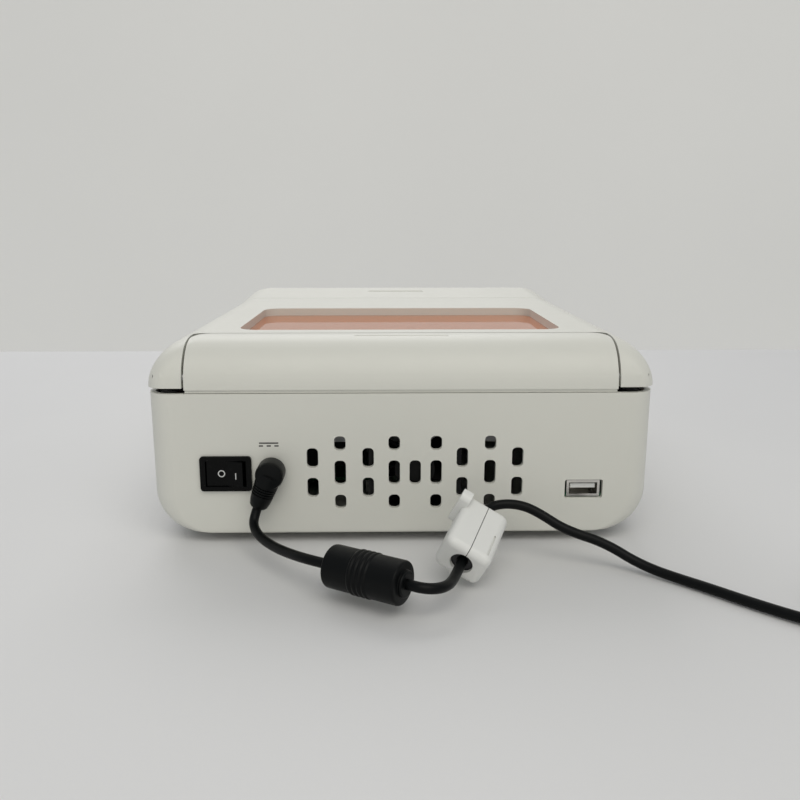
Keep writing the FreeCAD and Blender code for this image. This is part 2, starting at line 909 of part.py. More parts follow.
def make_contacts():
    """Sprung contact strips that stand at the two ends of the bay and touch the cassette."""
    for side, name in ((1, "right"), (-1, "left")):
        wall_x = S.bay_width / 2
        foot_in = wall_x - S.contact_width
        points = [
            (side * wall_x, bay_bottom),
            (side * foot_in, bay_bottom),
            (side * foot_in, bay_bottom + 0.5),
            (side * (wall_x - 0.8), bay_bottom + 0.8),
            (side * (foot_in + 0.4), bay_bottom + S.contact_height * 0.65),
            (side * (wall_x - 1.0), bay_bottom + S.contact_height),
            (side * (wall_x - 0.4), bay_bottom + S.contact_height),
            (side * (foot_in + 1.0), bay_bottom + S.contact_height * 0.65),
            (side * wall_x, bay_bottom + 1.0),
        ]
        strip = prism(
            f"contact_{name}", "y", points, bay_y - S.contact_length / 2, bay_y + S.contact_length / 2
        )
        keep(strip, f"contact_strip_{name}")


def make_bumpers_and_magnets():
    """Rubber dots under the lid's front wall, and the magnet pairs that hold the lid shut."""
    dot = S.bumper_diameter / 2
    bumper_top = lid_bottom - S.part_clearance
    bumpers = [
        rod(f"bumper_{i}", "z", (side * bumper_x, lid_front + S.wall * 0.6), dot, deck_top, bumper_top)
        for i, side in enumerate((1, -1))
    ]
    keep(group("bumper_pair", bumpers), "lid_bumpers")
    radius, thick = S.magnet_diameter / 2, S.magnet_thickness
    lid_low = lid_bottom + S.part_clearance
    for node, low in (("catch_magnets", deck_top - thick), ("lid_magnets", lid_low)):
        magnets = [
            rod(f"{node}_{i}", "z", (side * magnet_x, magnet_y), radius, low, low + thick)
            for i, side in enumerate((1, -1))
        ]
        keep(group(node + "_pair", magnets), node)


# Lid and the fixed hinge cover


def top_blank(name, low_y):
    """The block that the lid and the hinge cover are cut from, with its rounded top and corners."""
    blank = block(name + "_blank", (-half_width, half_width), (low_y, rear), (base_bottom, lid_top))

    def corner(b):
        return b.ZLength > 1 and near(b.YMin, rear)

    def side(b):
        return b.YLength > 1 and near(b.ZMin, lid_top)

    def back(b):
        return b.XLength > 1 and near(b.ZMin, lid_top) and near(b.YMin, rear)

    return rounded(
        name,
        blank,
        (corner, S.case_corner),
        (side, S.lid_side_round),
        (back, S.rear_round),
    )


def cover_zone(name, grow, low, high):
    """The fixed cover's plan, grown by a margin; its front corners are round."""
    side = cover_side + grow
    depth = S.cover_depth + grow + S.cover_corner * 3
    centre_y = cover_front - grow + depth / 2
    return plate(name, "z", (0, centre_y), side * 2, depth, S.cover_corner + grow, low, high)


def hinge_rod(name, radius, low, high):
    return rod(name, "x", (hinge_y, hinge_z), radius, low, high)


pin_out = cover_side + S.seam_gap + S.ear_boss_length
pin_in = pin_out - S.hinge_pin_length
pin_radius = S.hinge_pin_diameter / 2
boss_radius = pin_radius + S.hinge_boss_wall
swing_gap_y = cover_front - S.seam_gap - hinge_y
swing_gap_z = lid_top - hinge_z
window_y = rear - S.window_setback - S.window_depth / 2
plate_top = lid_top - S.window_recess
plate_bottom = plate_top - S.window_thickness
plate_width = S.window_width + S.window_overlap * 2
plate_depth = S.window_depth + S.window_overlap * 2
liner_bottom = plate_bottom - S.liner_thickness


def seam_radius(extra):
    """How far the seam's top edge lies from the hinge axis, plus a margin."""
    radius = math.hypot(swing_gap_y.value, swing_gap_z.value)
    text = f"sqrt({swing_gap_y.text}^2 + {swing_gap_z.text}^2)"
    return Size(radius, text) + extra


def make_lid_frame():
    solid = top_blank("lid_outer", lid_front)
    walls = hollowed("lid_walls", solid, S.wall, lambda b: near(b.ZMax, base_bottom))
    clear = cover_zone("cover_clearance", S.seam_gap, base_bottom - 1, lid_top + 1)
    behind_seam = cover_zone("seam_wall_zone", S.seam_gap + S.wall, base_bottom - 1, lid_top + 1)
    hollow = cut("lid_hollow", cut("lid_inside", solid, walls), behind_seam)
    shell = cut("lid_shell", solid, hollow)
    rim_outer = plate(
        "rim_outer", "z", (0, window_y), S.window_width + S.rim_wall * 2, S.window_depth + S.rim_wall * 2,
        S.window_corner + S.rim_wall, plate_top, lid_top - S.wall / 2,
    )
    solids = [shell, rim_outer]
    bores = []
    ear_in, ear_out = cover_side + S.seam_gap, pin_out
    for side, name in ((1, "right"), (-1, "left")):
        xs = sorted((side * ear_in, side * ear_out), key=lambda size: size.value)
        solids.append(hinge_rod(f"ear_boss_{name}", boss_radius, *xs))
        ends = sorted((side * (ear_in - 1), side * (ear_out + 0.5)), key=lambda size: size.value)
        bores.append(hinge_rod(f"ear_bore_{name}", hole_radius(S.hinge_pin_diameter), *ends))
    for index, at in enumerate(lid_screw_places()):
        solids.append(
            rod(f"lid_boss_{index}", "z", at, S.standoff_diameter / 2, plate_bottom, lid_top - S.wall / 2)
        )
        bore = hole_radius(S.small_screw_diameter)
        bores.append(rod(f"lid_boss_{index}_bore", "z", at, bore, plate_bottom - 1, plate_bottom + S.small_screw_length - S.liner_thickness))
    for index, side in enumerate((1, -1)):
        at = (side * magnet_x, magnet_y)
        radius = S.magnet_diameter / 2
        low = lid_bottom + S.part_clearance
        solids.append(
            rod(f"magnet_boss_{index}", "z", at, radius + S.rim_wall, low, lid_top - S.wall / 2)
        )
        bores.append(
            rod(f"magnet_pocket_{index}", "z", at, radius + S.fit_clearance, low - 1, low + S.magnet_thickness)
        )
    joined = fuse("lid_solid", *solids)
    opening = plate(
        "window_opening", "z", (0, window_y), S.window_width, S.window_depth, S.window_corner,
        base_bottom, lid_top + 1,
    )
    below = block(
        "below_lid", (-S.case_width, S.case_width), (-S.case_depth, S.case_depth), (ZERO, lid_bottom)
    )
    swing = hinge_rod("cover_swing", seam_radius(ZERO), -(cover_side + S.seam_gap), cover_side + S.seam_gap)
    heel = block(
        "heel_block",
        (-S.case_width, S.case_width),
        (hinge_y, rear + 1),
        (base_bottom, hinge_z),
    )
    heel_keep = hinge_rod("heel_round", S.ear_swing_radius, -S.case_width, S.case_width)
    heel_cut = cut("heel_corner", heel, heel_keep)
    keep(cut("lid_body", joined, clear, opening, below, swing, heel_cut, *bores), "lid_frame")


def lid_screw_places():
    dx = plate_width / 2 + S.standoff_diameter / 2 + S.part_clearance
    dy = plate_depth / 2 + S.standoff_diameter / 2 + S.part_clearance
    sides = [(sx * dx, window_y + sy * S.window_depth * 0.36) for sx in (1, -1) for sy in (1, 0, -1)]
    return sides + [(sx * S.window_width * 0.25, window_y - dy) for sx in (1, -1)]


def make_window():
    edge = S.window_corner + S.window_overlap
    keep(
        plate("amber_plate", "z", (0, window_y), plate_width, plate_depth, edge, plate_bottom, plate_top),
        "amber_window",
    )
    margin = S.liner_margin
    outer = plate(
        "liner_outer", "z", (0, window_y - margin / 4), plate_width + margin * 2, plate_depth + margin * 1.5,
        S.window_corner, liner_bottom, plate_bottom,
    )
    opening = plate(
        "liner_opening", "z", (0, window_y), S.window_width, S.window_depth, S.window_corner,
        liner_bottom - 1, plate_bottom + 1,
    )
    swing = hinge_rod("liner_swing", seam_radius(S.part_clearance), -cover_side - 2, cover_side + 2)
    holes = [
        rod(f"liner_hole_{i}", "z", at, hole_radius(S.small_screw_diameter), liner_bottom - 1, plate_bottom + 1)
        for i, at in enumerate(lid_screw_places())
    ]
    keep(cut("liner_body", outer, opening, swing, *holes), "lid_liner")
    screws = [
        screw(
            f"lid_screw_{i}", at, liner_bottom, S.small_screw_length - 0.5,
            S.small_head_diameter, S.small_head_height, S.small_screw_diameter,
        )
        for i, at in enumerate(lid_screw_places())
    ]
    keep(group("lid_screw_set", screws), "lid_screws")


def make_hinge_cover():
    solid = top_blank("cover_outer", cover_front - S.cover_depth)
    zone = cover_zone("cover_zone", ZERO, lid_bottom, lid_top + 1)
    inner_zone = cover_zone("cover_inner_zone", -S.wall, lid_bottom - 1, lid_top + 1)
    core = block(
        "cover_core", (-cover_side, cover_side), (cover_front, rear - S.wall), (base_bottom, lid_top - S.wall)
    )

    def core_edge(b):
        return b.XLength > 1 and near(b.YMin, rear - S.wall) and near(b.ZMin, lid_top - S.wall)

    core_round = rounded("cover_core_round", core, (core_edge, S.rear_round - S.wall))
    hollow = common("cover_hollow", core_round, inner_zone)
    shell = cut("cover_shell", common("cover_block", solid, zone), hollow)
    lip_rear = rear - S.wall - S.cover_lip_inset
    lip_side = cover_side - S.wall * 2
    lip = block(
        "cover_lip",
        (-lip_side, lip_side),
        (lip_rear - S.wall, lip_rear),
        (base_top - S.cover_lip_drop, lid_bottom + S.wall),
    )
    shelf = block(
        "cover_shelf",
        (-lip_side, lip_side),
        (lip_rear - S.wall, rear - S.wall / 2),
        (lid_bottom, lid_bottom + S.wall),
    )
    bosses, bores = [], []
    for side, name in ((1, "right"), (-1, "left")):
        xs = sorted((side * cover_side, side * (pin_in - 2)), key=lambda size: size.value)
        bosses.append(hinge_rod(f"cover_boss_{name}", boss_radius, *xs))
        ends = sorted((side * (cover_side + 1), side * pin_in), key=lambda size: size.value)
        bores.append(hinge_rod(f"cover_bore_{name}", hole_radius(S.hinge_pin_diameter), *ends))
    dock = dock_slot("rear_dock", rear - S.rear_dock_setback, S.rear_dock_length, lid_top)
    joined = fuse("cover_solid", shell, lip, shelf, *bosses)
    keep(cut("cover_body", joined, dock, *bores), "hinge_cover")
    for side, name in ((1, "right"), (-1, "left")):
        xs = sorted((side * pin_in, side * pin_out), key=lambda size: size.value)
        keep(hinge_rod(f"pin_{name}", pin_radius, *xs), f"hinge_pin_{name}")


def dock_slot(name, y, length, top):
    """A shallow locating recess for a hood that stands on the lid."""
    corner = S.dock_width * 0.3
    return plate(name, "z", (0, y), length, S.dock_width, corner, top - S.dock_depth, top + 3)


# Console and its display


console_rear = lid_front - S.seam_gap
crest_y = front + S.slope_setback
crest_z = lid_top + S.console_rise
slope = (crest_z - S.toe_height) / S.slope_setback
slope_length = Size(
    math.hypot(S.slope_setback.value, (crest_z - S.toe_height).value),
    f"sqrt({S.slope_setback.text}^2 + {(crest_z - S.toe_height).text}^2)",
)


def slope_frame():
    """The display's placement: x along the console, y up the slope, z out of it."""
    rise = (crest_z - S.toe_height).value
    run = S.slope_setback.value
    angle = math.degrees(math.atan2(rise, run))
    middle = Vector(0, (front + S.slope_setback * 0.48).value, (S.toe_height + (crest_z - S.toe_height) * 0.48).value)
    return FreeCAD.Placement(middle, FreeCAD.Rotation(AXES["x"], angle))


def on_slope(name, width, height, corner, low, high):
    """A plate that lies parallel to the slope, from low to high over its face."""
    piece = plate(name, "z", (0, 0), width, height, corner, low, high)
    piece.Placement = slope_frame()
    return piece


def make_console():
    side = [
        (console_rear, base_bottom),
        (console_rear, lid_top),
        (crest_y, crest_z),
        (front, S.toe_height),
        (front, base_bottom),
    ]
    blank = prism("console_blank", "x", side, -half_width, half_width)

    def crest(b):
        return b.XLength > 1 and near(b.YMin, crest_y)

    def toe(b):
        return b.XLength > 1 and near(b.YMin, front) and near(b.ZMin, S.toe_height)

    def flank(b):
        return b.XLength < 0.01 and b.YMin < console_rear.value - 0.1 and b.ZMax > base_bottom.value + 1

    outer = rounded(
        "console_outer", blank, (crest, S.crest_round), (toe, S.toe_round), (flank, S.console_edge)
    )
    shell = hollowed("console_walls", outer, S.wall, lambda b: near(b.ZMax, base_bottom))
    above = parting_prism("above_console_line", S.parting_gap)
    shell = common("console_skin", shell, above)
    posts, holes = [], []
    for index, at in enumerate(CONSOLE_POSTS):
        inner_slope = S.toe_height + (at[1] - S.post_diameter / 2 - front) * slope - S.wall
        posts.append(
            rod(f"console_boss_{index}", "z", at, S.post_diameter / 2, S.console_joint_height, inner_slope)
        )
        holes.append(
            rod(
                f"console_boss_{index}_bore", "z", at, hole_radius(S.screw_diameter),
                S.console_joint_height - 1, S.console_screw_seat + S.console_screw_length + 1,
            )
        )
    holes.append(dock_slot("front_dock", rear - S.front_dock_setback, S.front_dock_length, front_dock_top))
    holes.append(
        on_slope(
            "glass_pocket", S.display_width + S.part_clearance * 2, S.display_height + S.part_clearance * 2,
            S.display_corner, -S.wall * 3, 2,
        )
    )
    keep(cut("console_body", fuse("console_solid", shell, *posts), *holes), "console_shell")


front_dock_top = lid_top + S.console_rise * (
    (S.front_dock_setback - S.lid_length) / (S.case_depth - S.slope_setback - S.lid_length)
)


def make_display():
    """Cover glass flush with the slope, the panel under it, and the carrier behind both."""
    glass = on_slope("cover_glass", S.display_width, S.display_height, S.display_corner, -S.glass_thickness, 0)
    keep(glass, "touch_glass")
    lcd_width = S.display_width - S.lcd_margin * 2
    lcd_height = S.display_height - S.lcd_margin * 2
    lcd_back = -(S.glass_thickness + S.lcd_thickness)
    lcd = on_slope("panel", lcd_width, lcd_height, S.display_corner / 3, lcd_back, -S.glass_thickness)
    keep(lcd, "lcd_panel")
    carrier_outer = on_slope(
        "carrier_outer", S.display_width, S.display_height, S.display_corner,
        lcd_back - S.carrier_thickness, -S.glass_thickness,
    )
    carrier_pocket = on_slope(
        "carrier_pocket", lcd_width + S.part_clearance * 2, lcd_height + S.part_clearance * 2,
        S.display_corner / 3, lcd_back, 1,
    )
    keep(cut("carrier", carrier_outer, carrier_pocket), "display_carrier")


# Electronics


def make_boards():
    low = floor_top + S.standoff_height
    high = low + S.board_thickness
    names = ("main_board", "power_board")
    # components as shares of the board's width and length, and multiples of its thickness
    layouts = {
        "main_board": [
            (-0.25, 0.115, 0.18, 0.31, 1.4),
            (0.1, 0.2, 0.12, 0.2, 1.0),
            (0.28, -0.26, 0.15, 0.14, 3.75),
            (-0.3, -0.31, 0.22, 0.12, 5.0),
        ],
        "power_board": [
            (-0.2, 0.14, 0.32, 0.29, 11.25),
            (0.22, 0.21, 0.15, 0.36, 8.75),
            (0.18, -0.26, 0.25, 0.19, 7.5),
            (-0.22, -0.29, 0.17, 0.17, 6.25),
        ],
    }
    for name, (x, y, width, length) in zip(names, BOARDS):
        parts = [
            block(
                name + "_laminate",
                (x - width / 2, x + width / 2),
                (y - length / 2, y + length / 2),
                (low, high),
            )
        ]
        for index, (dx, dy, wide, deep, tall) in enumerate(layouts[name]):
            parts.append(
                block(
                    f"{name}_component_{index}",
                    (x + width * (dx - wide / 2), x + width * (dx + wide / 2)),
                    (y + length * (dy - deep / 2), y + length * (dy + deep / 2)),
                    (high - S.board_thickness / 4, high + S.board_thickness * tall),
                )
            )
        holes = [
            rod(f"{name}_hole_{i}", "z", at, hole_radius(S.small_screw_diameter), low - 1, high + 1)
            for i, at in enumerate(board_holes(x, y, width, length))
        ]
        keep(cut(name + "_body", fuse(name + "_solid", *parts), *holes), name)
    screws = []
    for x, y, width, length in BOARDS:
        for at in board_holes(x, y, width, length):
            screws.append(
                screw(
                    f"board_screw_{len(screws)}", at, high, S.small_screw_length, S.small_head_diameter,
                    S.small_head_height, S.small_screw_diameter, up=-1,
                )
            )
    keep(group("board_screw_set", screws), "board_screws")


# Fan behind the vents


fan_rear = rear - S.wall - S.fan_wall_gap
fan_front = fan_rear - S.fan_depth


def make_fan():
    centre = (S.vent_centre_x, S.vent_centre_z)
    frame = plate("fan_block", "y", centre, S.fan_size, S.fan_size, S.part_clearance * 8, fan_front, fan_rear)
    bore = rod("fan_bore", "y", centre, S.fan_bore / 2, fan_front + S.board_thickness, fan_rear + 1)
    mouth = rod("fan_mouth", "y", centre, S.fan_bore / 2 - S.rim_wall, fan_front - 1, fan_rear)
    spokes = [
        block(
            f"fan_spoke_{i}",
            (S.vent_centre_x - half_x, S.vent_centre_x + half_x),
            (fan_front, fan_front + S.board_thickness),
            (S.vent_centre_z - half_z, S.vent_centre_z + half_z),
        )
        for i, (half_x, half_z) in enumerate(
            ((S.fan_bore / 2, S.wall / 2), (S.wall / 2, S.fan_bore / 2))
        )
    ]
    motor = rod(
        "fan_motor_seat", "y", centre, S.fan_hub_diameter / 2, fan_front, fan_front + S.board_thickness
    )
    shaft_hole = rod(
        "fan_bearing", "y", centre, hole_radius(S.fan_shaft_diameter), fan_front - 1, fan_rear
    )
    holes = []
    for i, (sx, sz) in enumerate(((1, 1), (1, -1), (-1, 1), (-1, -1))):
        at = (
            S.vent_centre_x + sx * S.fan_hole_spacing / 2,
            S.vent_centre_z + sz * S.fan_hole_spacing / 2,
        )
        holes.append(rod(f"fan_hole_{i}", "y", at, S.fan_hole_diameter / 2, fan_front - 1, fan_rear + 1))
    ring = cut("fan_ring", frame, bore, mouth, *holes)
    keep(cut("fan_housing", fuse("fan_spider", ring, motor, *spokes), shaft_hole), "fan_frame")

    hub_low = fan_front + S.board_thickness + S.part_clearance
    hub_high = fan_rear - S.board_thickness
    hub = rod("fan_hub", "y", centre, S.fan_hub_diameter / 2 - S.part_clearance, hub_low, hub_high)
    shaft = rod("fan_shaft", "y", centre, S.fan_shaft_diameter / 2, fan_front, hub_high - 1)
    blade_span = S.fan_bore / 2 - S.fan_tip_gap
    count = int(S.fan_blades.value)
    blades = []
    for i in range(count):
        blade = doc.addObject("Part::Box", f"fan_blade_{i}")
        bind(blade, "Length", S.fan_blade_thickness)
        bind(blade, "Width", (hub_high - hub_low) * 0.9)
        bind(blade, "Height", blade_span - S.fan_hub_diameter / 4)
        turn = FreeCAD.Rotation(AXES["y"], 360.0 * i / count)
        pitch = FreeCAD.Rotation(AXES["z"], S.fan_blade_pitch.value)
        spin = turn.multiply(pitch)
        middle_y = (hub_low + hub_high) / 2
        corner = Vector(-S.fan_blade_thickness.value / 2, -(hub_high - hub_low).value * 0.45, S.fan_hub_diameter.value / 4)
        origin = Vector(S.vent_centre_x.value, middle_y.value, S.vent_centre_z.value)
        blades.append(place(blade, origin + spin.multVec(corner), spin))
    swept = fuse("fan_rotor_solid", hub, shaft, *blades)
    limit = fuse(
        "fan_limits",
        rod("fan_tip_limit", "y", centre, blade_span, hub_low, hub_high),
        rod("fan_shaft_limit", "y", centre, S.fan_hub_diameter / 2, fan_front, hub_high),
    )
    keep(common("fan_wheel", swept, limit), "fan_rotor")


# Rear panel fittings


pivot_y = rear - S.pivot_depth


def make_switch():
    centre = (switch_x, S.switch_z)
    flange = plate(
        "bezel_flange", "y", centre, S.bezel_width, S.bezel_height, S.bezel_corner, rear, rear + S.bezel_proud
    )
    body = plate(
        "switch_case", "y", centre, S.switch_body_width, S.switch_body_height, S.bezel_corner,
        rear - S.switch_body_depth, rear + S.bezel_proud / 2,
    )
    reach = math.hypot(S.paddle_half.value, S.paddle_tip.value)
    well_half = Size(reach, f"sqrt({S.paddle_half.text}^2 + {S.paddle_tip.text}^2)") + S.paddle_gap
    half_height = S.paddle_height / 2 + S.paddle_gap / 2
    well = block(
        "paddle_well",
        (switch_x - well_half, switch_x + well_half),
        (rear - S.switch_well_depth, rear + S.bezel_proud + 1),
        (S.switch_z - half_height, S.switch_z + half_height),
    )
    trunnion_reach = S.paddle_height / 2 + S.pivot_length
    pivot_hole = rod(
        "pivot_hole", "z", (switch_x, pivot_y), hole_radius(S.pivot_diameter),
        S.switch_z - trunnion_reach - S.fit_clearance, S.switch_z + trunnion_reach + S.fit_clearance,
    )
    terminals = [
        block(
            f"terminal_{i}",
            (switch_x + dx - 0.4, switch_x + dx + 0.4),
            (rear - S.switch_body_depth - S.terminal_length, rear - S.switch_body_depth + 1),
            (S.switch_z - S.terminal_width / 2, S.switch_z + S.terminal_width / 2),
        )
        for i, dx in enumerate((-6, 0))
    ]
    keep(cut("switch_housing", fuse("switch_solid", flange, body, *terminals), well, pivot_hole), "switch_body")

    half = S.paddle_half
    section = [
        (half, S.paddle_tip),
        (0, S.paddle_valley),
        (-half, S.paddle_tip),
        (-half, -0.5),
        (-half / 2, -S.paddle_keel),
        (half / 2, -S.paddle_keel),
        (half, -0.5),
    ]
    low, high = -S.paddle_height / 2, S.paddle_height / 2
    paddle = prism("paddle_prism", "z", section, low, high)
    trunnion = rod("paddle_trunnion", "z", (0, 0), S.pivot_diameter / 2, -trunnion_reach, trunnion_reach)
    rocker = fuse("paddle", paddle, trunnion)
    place(
        rocker,
        Vector(switch_x.value, pivot_y.value, S.switch_z.value),
        FreeCAD.Rotation(AXES["z"], -S.paddle_tilt.value),
    )
    keep(rocker, "rocker_paddle")


def facing_rear(thing, x, y, z):
    """Stands a turned piece's own Z axis along +Y, with its foot at y."""
    turn = FreeCAD.Rotation(AXES["z"], AXES["y"])
    return place(thing, Vector(sized(x).value, sized(y).value, sized(z).value), turn)


def make_jack():
    flange, sleeve = S.jack_flange_diameter / 2, S.jack_diameter / 2
    bore, pin = S.jack_bore_diameter / 2, S.jack_pin_diameter / 2
    mouth = S.jack_flange_thickness
    back = mouth - S.barrel_length - S.plug_gap * 3
    socket = turned(
        "jack_turned",
        [
            (0, -S.jack_depth),
            (sleeve, -S.jack_depth),
            (sleeve, 0),
            (flange, 0),
            (flange, mouth),
            (bore, mouth),
            (bore, back),
            (pin, back),
            (pin, -S.jack_pin_recess),
            (0, -S.jack_pin_recess),
        ],
    )
    keep(facing_rear(socket, jack_x, rear, S.jack_z), "dc_jack")


def make_port():
    """A pressed metal socket shell with a flared mouth, its tongue, and the small board under it."""
    shell_front = rear - S.port_recess
    shell_back = shell_front - S.port_shell_depth
    wide, tall = S.port_shell_width / 2, S.port_shell_height / 2
    mouth_wide, mouth_tall = wide + S.port_flare, tall + S.port_flare
    x, z = port_x, S.port_z

    def tube(name, half_x, half_z, low, high):
        return block(name, (x - half_x, x + half_x), (low, high), (z - half_z, z + half_z))

    wall = S.port_shell_wall
    outer = fuse(
        "port_outer",
        tube("port_sleeve", wide, tall, shell_back, shell_front),
        tube("port_flange", mouth_wide, mouth_tall, shell_front - wall, shell_front),
    )
    inner = tube("port_inner", wide - wall, tall - wall, shell_back + wall, shell_front + 1)
    keep(cut("port_shell_body", outer, inner), "usb_port_shell")
    tongue_top = z + tall - wall - S.port_shell_wall * 2
    keep(
        block(
            "port_tongue_body",
            (x - S.port_tongue_width / 2, x + S.port_tongue_width / 2),
            (shell_back + wall, shell_front - S.port_recess),
            (tongue_top - S.port_tongue_height, tongue_top),
        ),
        "usb_port_tongue",
    )
    board_top = z - tall
    board_rear = rear - S.wall - S.part_clearance
    board = block(
        "port_board_plate",
        (x - S.port_board_width / 2, x + S.port_board_width / 2),
        (board_rear - S.port_board_depth, board_rear),
        (board_top - S.board_thickness, board_top),
    )
    leg_y = board_rear - S.port_board_depth + S.wall * 2
    legs = [
        rod(f"port_leg_{i}", "z", (x + side * S.port_board_width / 3, leg_y), S.standoff_diameter / 2,
            floor_top, board_top - S.board_thickness)
        for i, side in enumerate((1, -1))
    ]
    keep(fuse("port_board_body", board, *legs), "usb_board")


# Power lead: the plug in the socket, the cable, the two ferrite cores on it and its far end


lead_radius = S.lead_diameter / 2


def from_socket(points):
    """Points of the lead's route, measured from the power socket's place on the rear panel."""
    return [(x + jack_x.value, y + rear.value, z) for x, y, z in points]


PLUG_TO_CORE = from_socket([
    (5.6, 6.3, 19.3),
    (7.1, 7.6, 15.5),
    (7.0, 11.5, 12.2),
    (3.4, 18.5, 10.4),
    (-3.2, 27.3, 10.0),
    (-9.8, 35.5, 10.8),
    (-17.3, 44.2, 12.2),
    (-25.0, 48.8, 12.2),
])
CORE_TO_CLIP = from_socket([
    (-57.4, 68.2, 12.2),
    (-61.2, 70.5, 12.2),
    (-65.8, 70.0, 11.6),
    (-69.8, 66.6, 10.8),
    (-72.4, 61.2, 10.0),
    (-74.5, 54.8, 10.0),
    (-76.9, 48.8, 11.6),
])
CLIP_TO_COIL = from_socket([
    (-87.6, 23.3, 20.2),
    (-89.7, 18.6, 21.8),
    (-94.2, 16.0, 22.9),
    (-100.4, 15.8, 23.3),
    (-106.9, 17.0, 22.3),
    (-113.4, 19.0, 19.2),
    (-119.6, 21.8, 15.6),
    (-126.4, 24.4, 13.3),
    (-133.6, 26.8, 11.6),
    (-140.4, 29.3, 8.9),
    (-146.8, 32.4, 5.5),
    (-153.8, 36.8, 3.2),
    (-161.6, 43.4, 2.4),
    (-170.2, 52.0, 2.4),
    (-180.2, 63.2, 2.4),
    (-192.6, 75.4, 2.4),
    (-206.0, 86.0, 2.6),
])
COIL_CENTRE = from_socket([(-233.0, 76.3, 0.0)])[0][:2]
COIL_TO_CONNECTOR = from_socket([
    (-255.5, 59.0, 3.6),
    (-255.3, 53.0, 4.8),
    (-254.5, 47.0, 5.7),
])


def route_path(points):
    """Straight runs joined by tangent arcs, each arc as large as its two runs allow."""
    corners = [Vector(*p) for p in points]
    edges, radii = [], []
    start = corners[0]
    for before, corner, after in zip(corners, corners[1:], corners[2:]):
        into, out = corner - before, after - corner
        shorter = min(into.Length, out.Length)
        turn = into.getAngle(out)
        trim = 0.45 * shorter
        radii.append(trim / math.tan(turn / 2))
        arc_start = corner - into.normalize() * trim
        arc_end = corner + out.normalize() * trim
        bisector = (arc_start + arc_end) * 0.5 - corner
        span = bisector.Length
        radius = radii[-1]
        to_centre = math.hypot(trim, radius)
        middle = corner + bisector * ((to_centre - radius) / span)
        edges.append(Part.LineSegment(start, arc_start).toShape())
        edges.append(Part.Arc(arc_start, middle, arc_end).toShape())
        start = arc_end
    edges.append(Part.LineSegment(start, corners[-1]).toShape())
    return Part.Wire(edges), radii


def lead_tube(name, points):
    """A plain round tube along a route; its volume has to be its section times its length."""
    path, radii = route_path(points)
    start = Vector(*points[0])
    along = Vector(*points[1]) - start
    ring = Part.Wire(Part.Circle(start, along, lead_radius.value).toShape())
    solid = path.makePipeShell([ring], True, True)
    expected = math.pi * lead_radius.value**2 * path.Length
    print(f"{name}: {path.Length:.1f} mm, radii", " ".join(f"{r:.0f}" for r in radii),
          f"volume {solid.Volume / expected:.4f} of expected")
    tube = doc.addObject("Part::Feature", name + "_solid")
    tube.Shape = solid
    keep(tube, name)
    return path.Length


def make_plug():
    barrel_front = rear + S.jack_flange_thickness + S.plug_gap
    head_radius = S.plug_head_diameter / 2
    head = turned(
        "plug_head_turned",
        [
            (0, 0),
            (head_radius - S.foot_edge, 0),
            (head_radius, S.foot_edge),
            (head_radius, S.plug_head_length - S.plug_head_round),
            (head_radius - S.plug_head_round, S.plug_head_length),
            (0, S.plug_head_length),
        ],
    )
    facing_rear(head, jack_x, barrel_front, S.jack_z)
    wide, narrow = S.sleeve_wide / 2, S.sleeve_narrow / 2
    count = int(S.sleeve_ribs.value)
    pitch = (S.sleeve_length - head_radius) / (count + 0.5)
    points = [(0, 0), (wide, 0), (wide, head_radius)]
    for i in range(count):
        radius = wide - (wide - narrow) * ((i + 1) / (count + 1))
        level = head_radius + pitch * (i + 0.35)
        points += [
            (radius + 0.3, level),
            (radius - 0.5, level + pitch * 0.15),
            (radius - 0.5, level + pitch * 0.35),
            (radius + 0.1, level + pitch * 0.5),
        ]
    points += [(narrow, S.sleeve_length), (0, S.sleeve_length)]
    sleeve = turned("plug_sleeve_turned", points)
    head_middle = Vector(jack_x.value, PLUG_TO_CORE[0][1], S.jack_z.value)
    down = Vector(*PLUG_TO_CORE[0]) - head_middle
    place(sleeve, head_middle, FreeCAD.Rotation(AXES["z"], down))
    keep(fuse("plug_moulding", head, sleeve), "dc_plug")
    bore, radius = S.barrel_bore_diameter / 2, S.barrel_diameter / 2
    barrel = turned(
        "barrel_turned",
        [(bore, -S.barrel_length), (radius, -S.barrel_length), (radius, 0), (bore, 0)],
    )
    keep(facing_rear(barrel, jack_x, barrel_front, S.jack_z), "dc_plug_barrel")


def make_moulded_core():
    """A ferrite core moulded over in black, with a collar at each end and fine ribs round its middle."""
    start, end = Vector(*PLUG_TO_CORE[-1]), Vector(*CORE_TO_CLIP[0])
    length = (end - start).Length
    body, collar = S.core_sleeve_diameter / 2, S.core_sleeve_collar / 2
    points = [(0, 0), (collar, 0), (collar, 2.2), (body - 1.2, 2.2), (body, 3.4)]
    rib = S.core_sleeve_rib
    for i in range(4):
        level = length * 0.36 + i * length * 0.08
        points += [(body, level), (body + rib, level + 0.5), (body + rib, level + 1.3), (body, level + 1.8)]
    points += [(body, length - 3.4), (body - 1.2, length - 2.2), (collar, length - 2.2), (collar, length)]
    points += [(0, length)]
    core = turned("core_turned", points)
    keep(place(core, start, FreeCAD.Rotation(AXES["z"], end - start)), "moulded_ferrite")


clip_start = Vector(*CORE_TO_CLIP[-1])
clip_end = Vector(*CLIP_TO_COIL[0])


def clip_frame():
    """The clip's placement: its own Z runs along the cable and its own Y across the split."""
    along = (clip_end - clip_start).normalize()
    level = AXES["z"].cross(along).normalize()
    up = along.cross(level)
    roll = math.radians(S.clip_roll.value)
    split_x = level * math.cos(roll) + up * math.sin(roll)
    split_y = along.cross(split_x)
    matrix = FreeCAD.Matrix(
        split_x.x, split_y.x, along.x, clip_start.x,
        split_x.y, split_y.y, along.y, clip_start.y,
        split_x.z, split_y.z, along.z, clip_start.z,
        0, 0, 0, 1,
    )
    return FreeCAD.Placement(matrix)


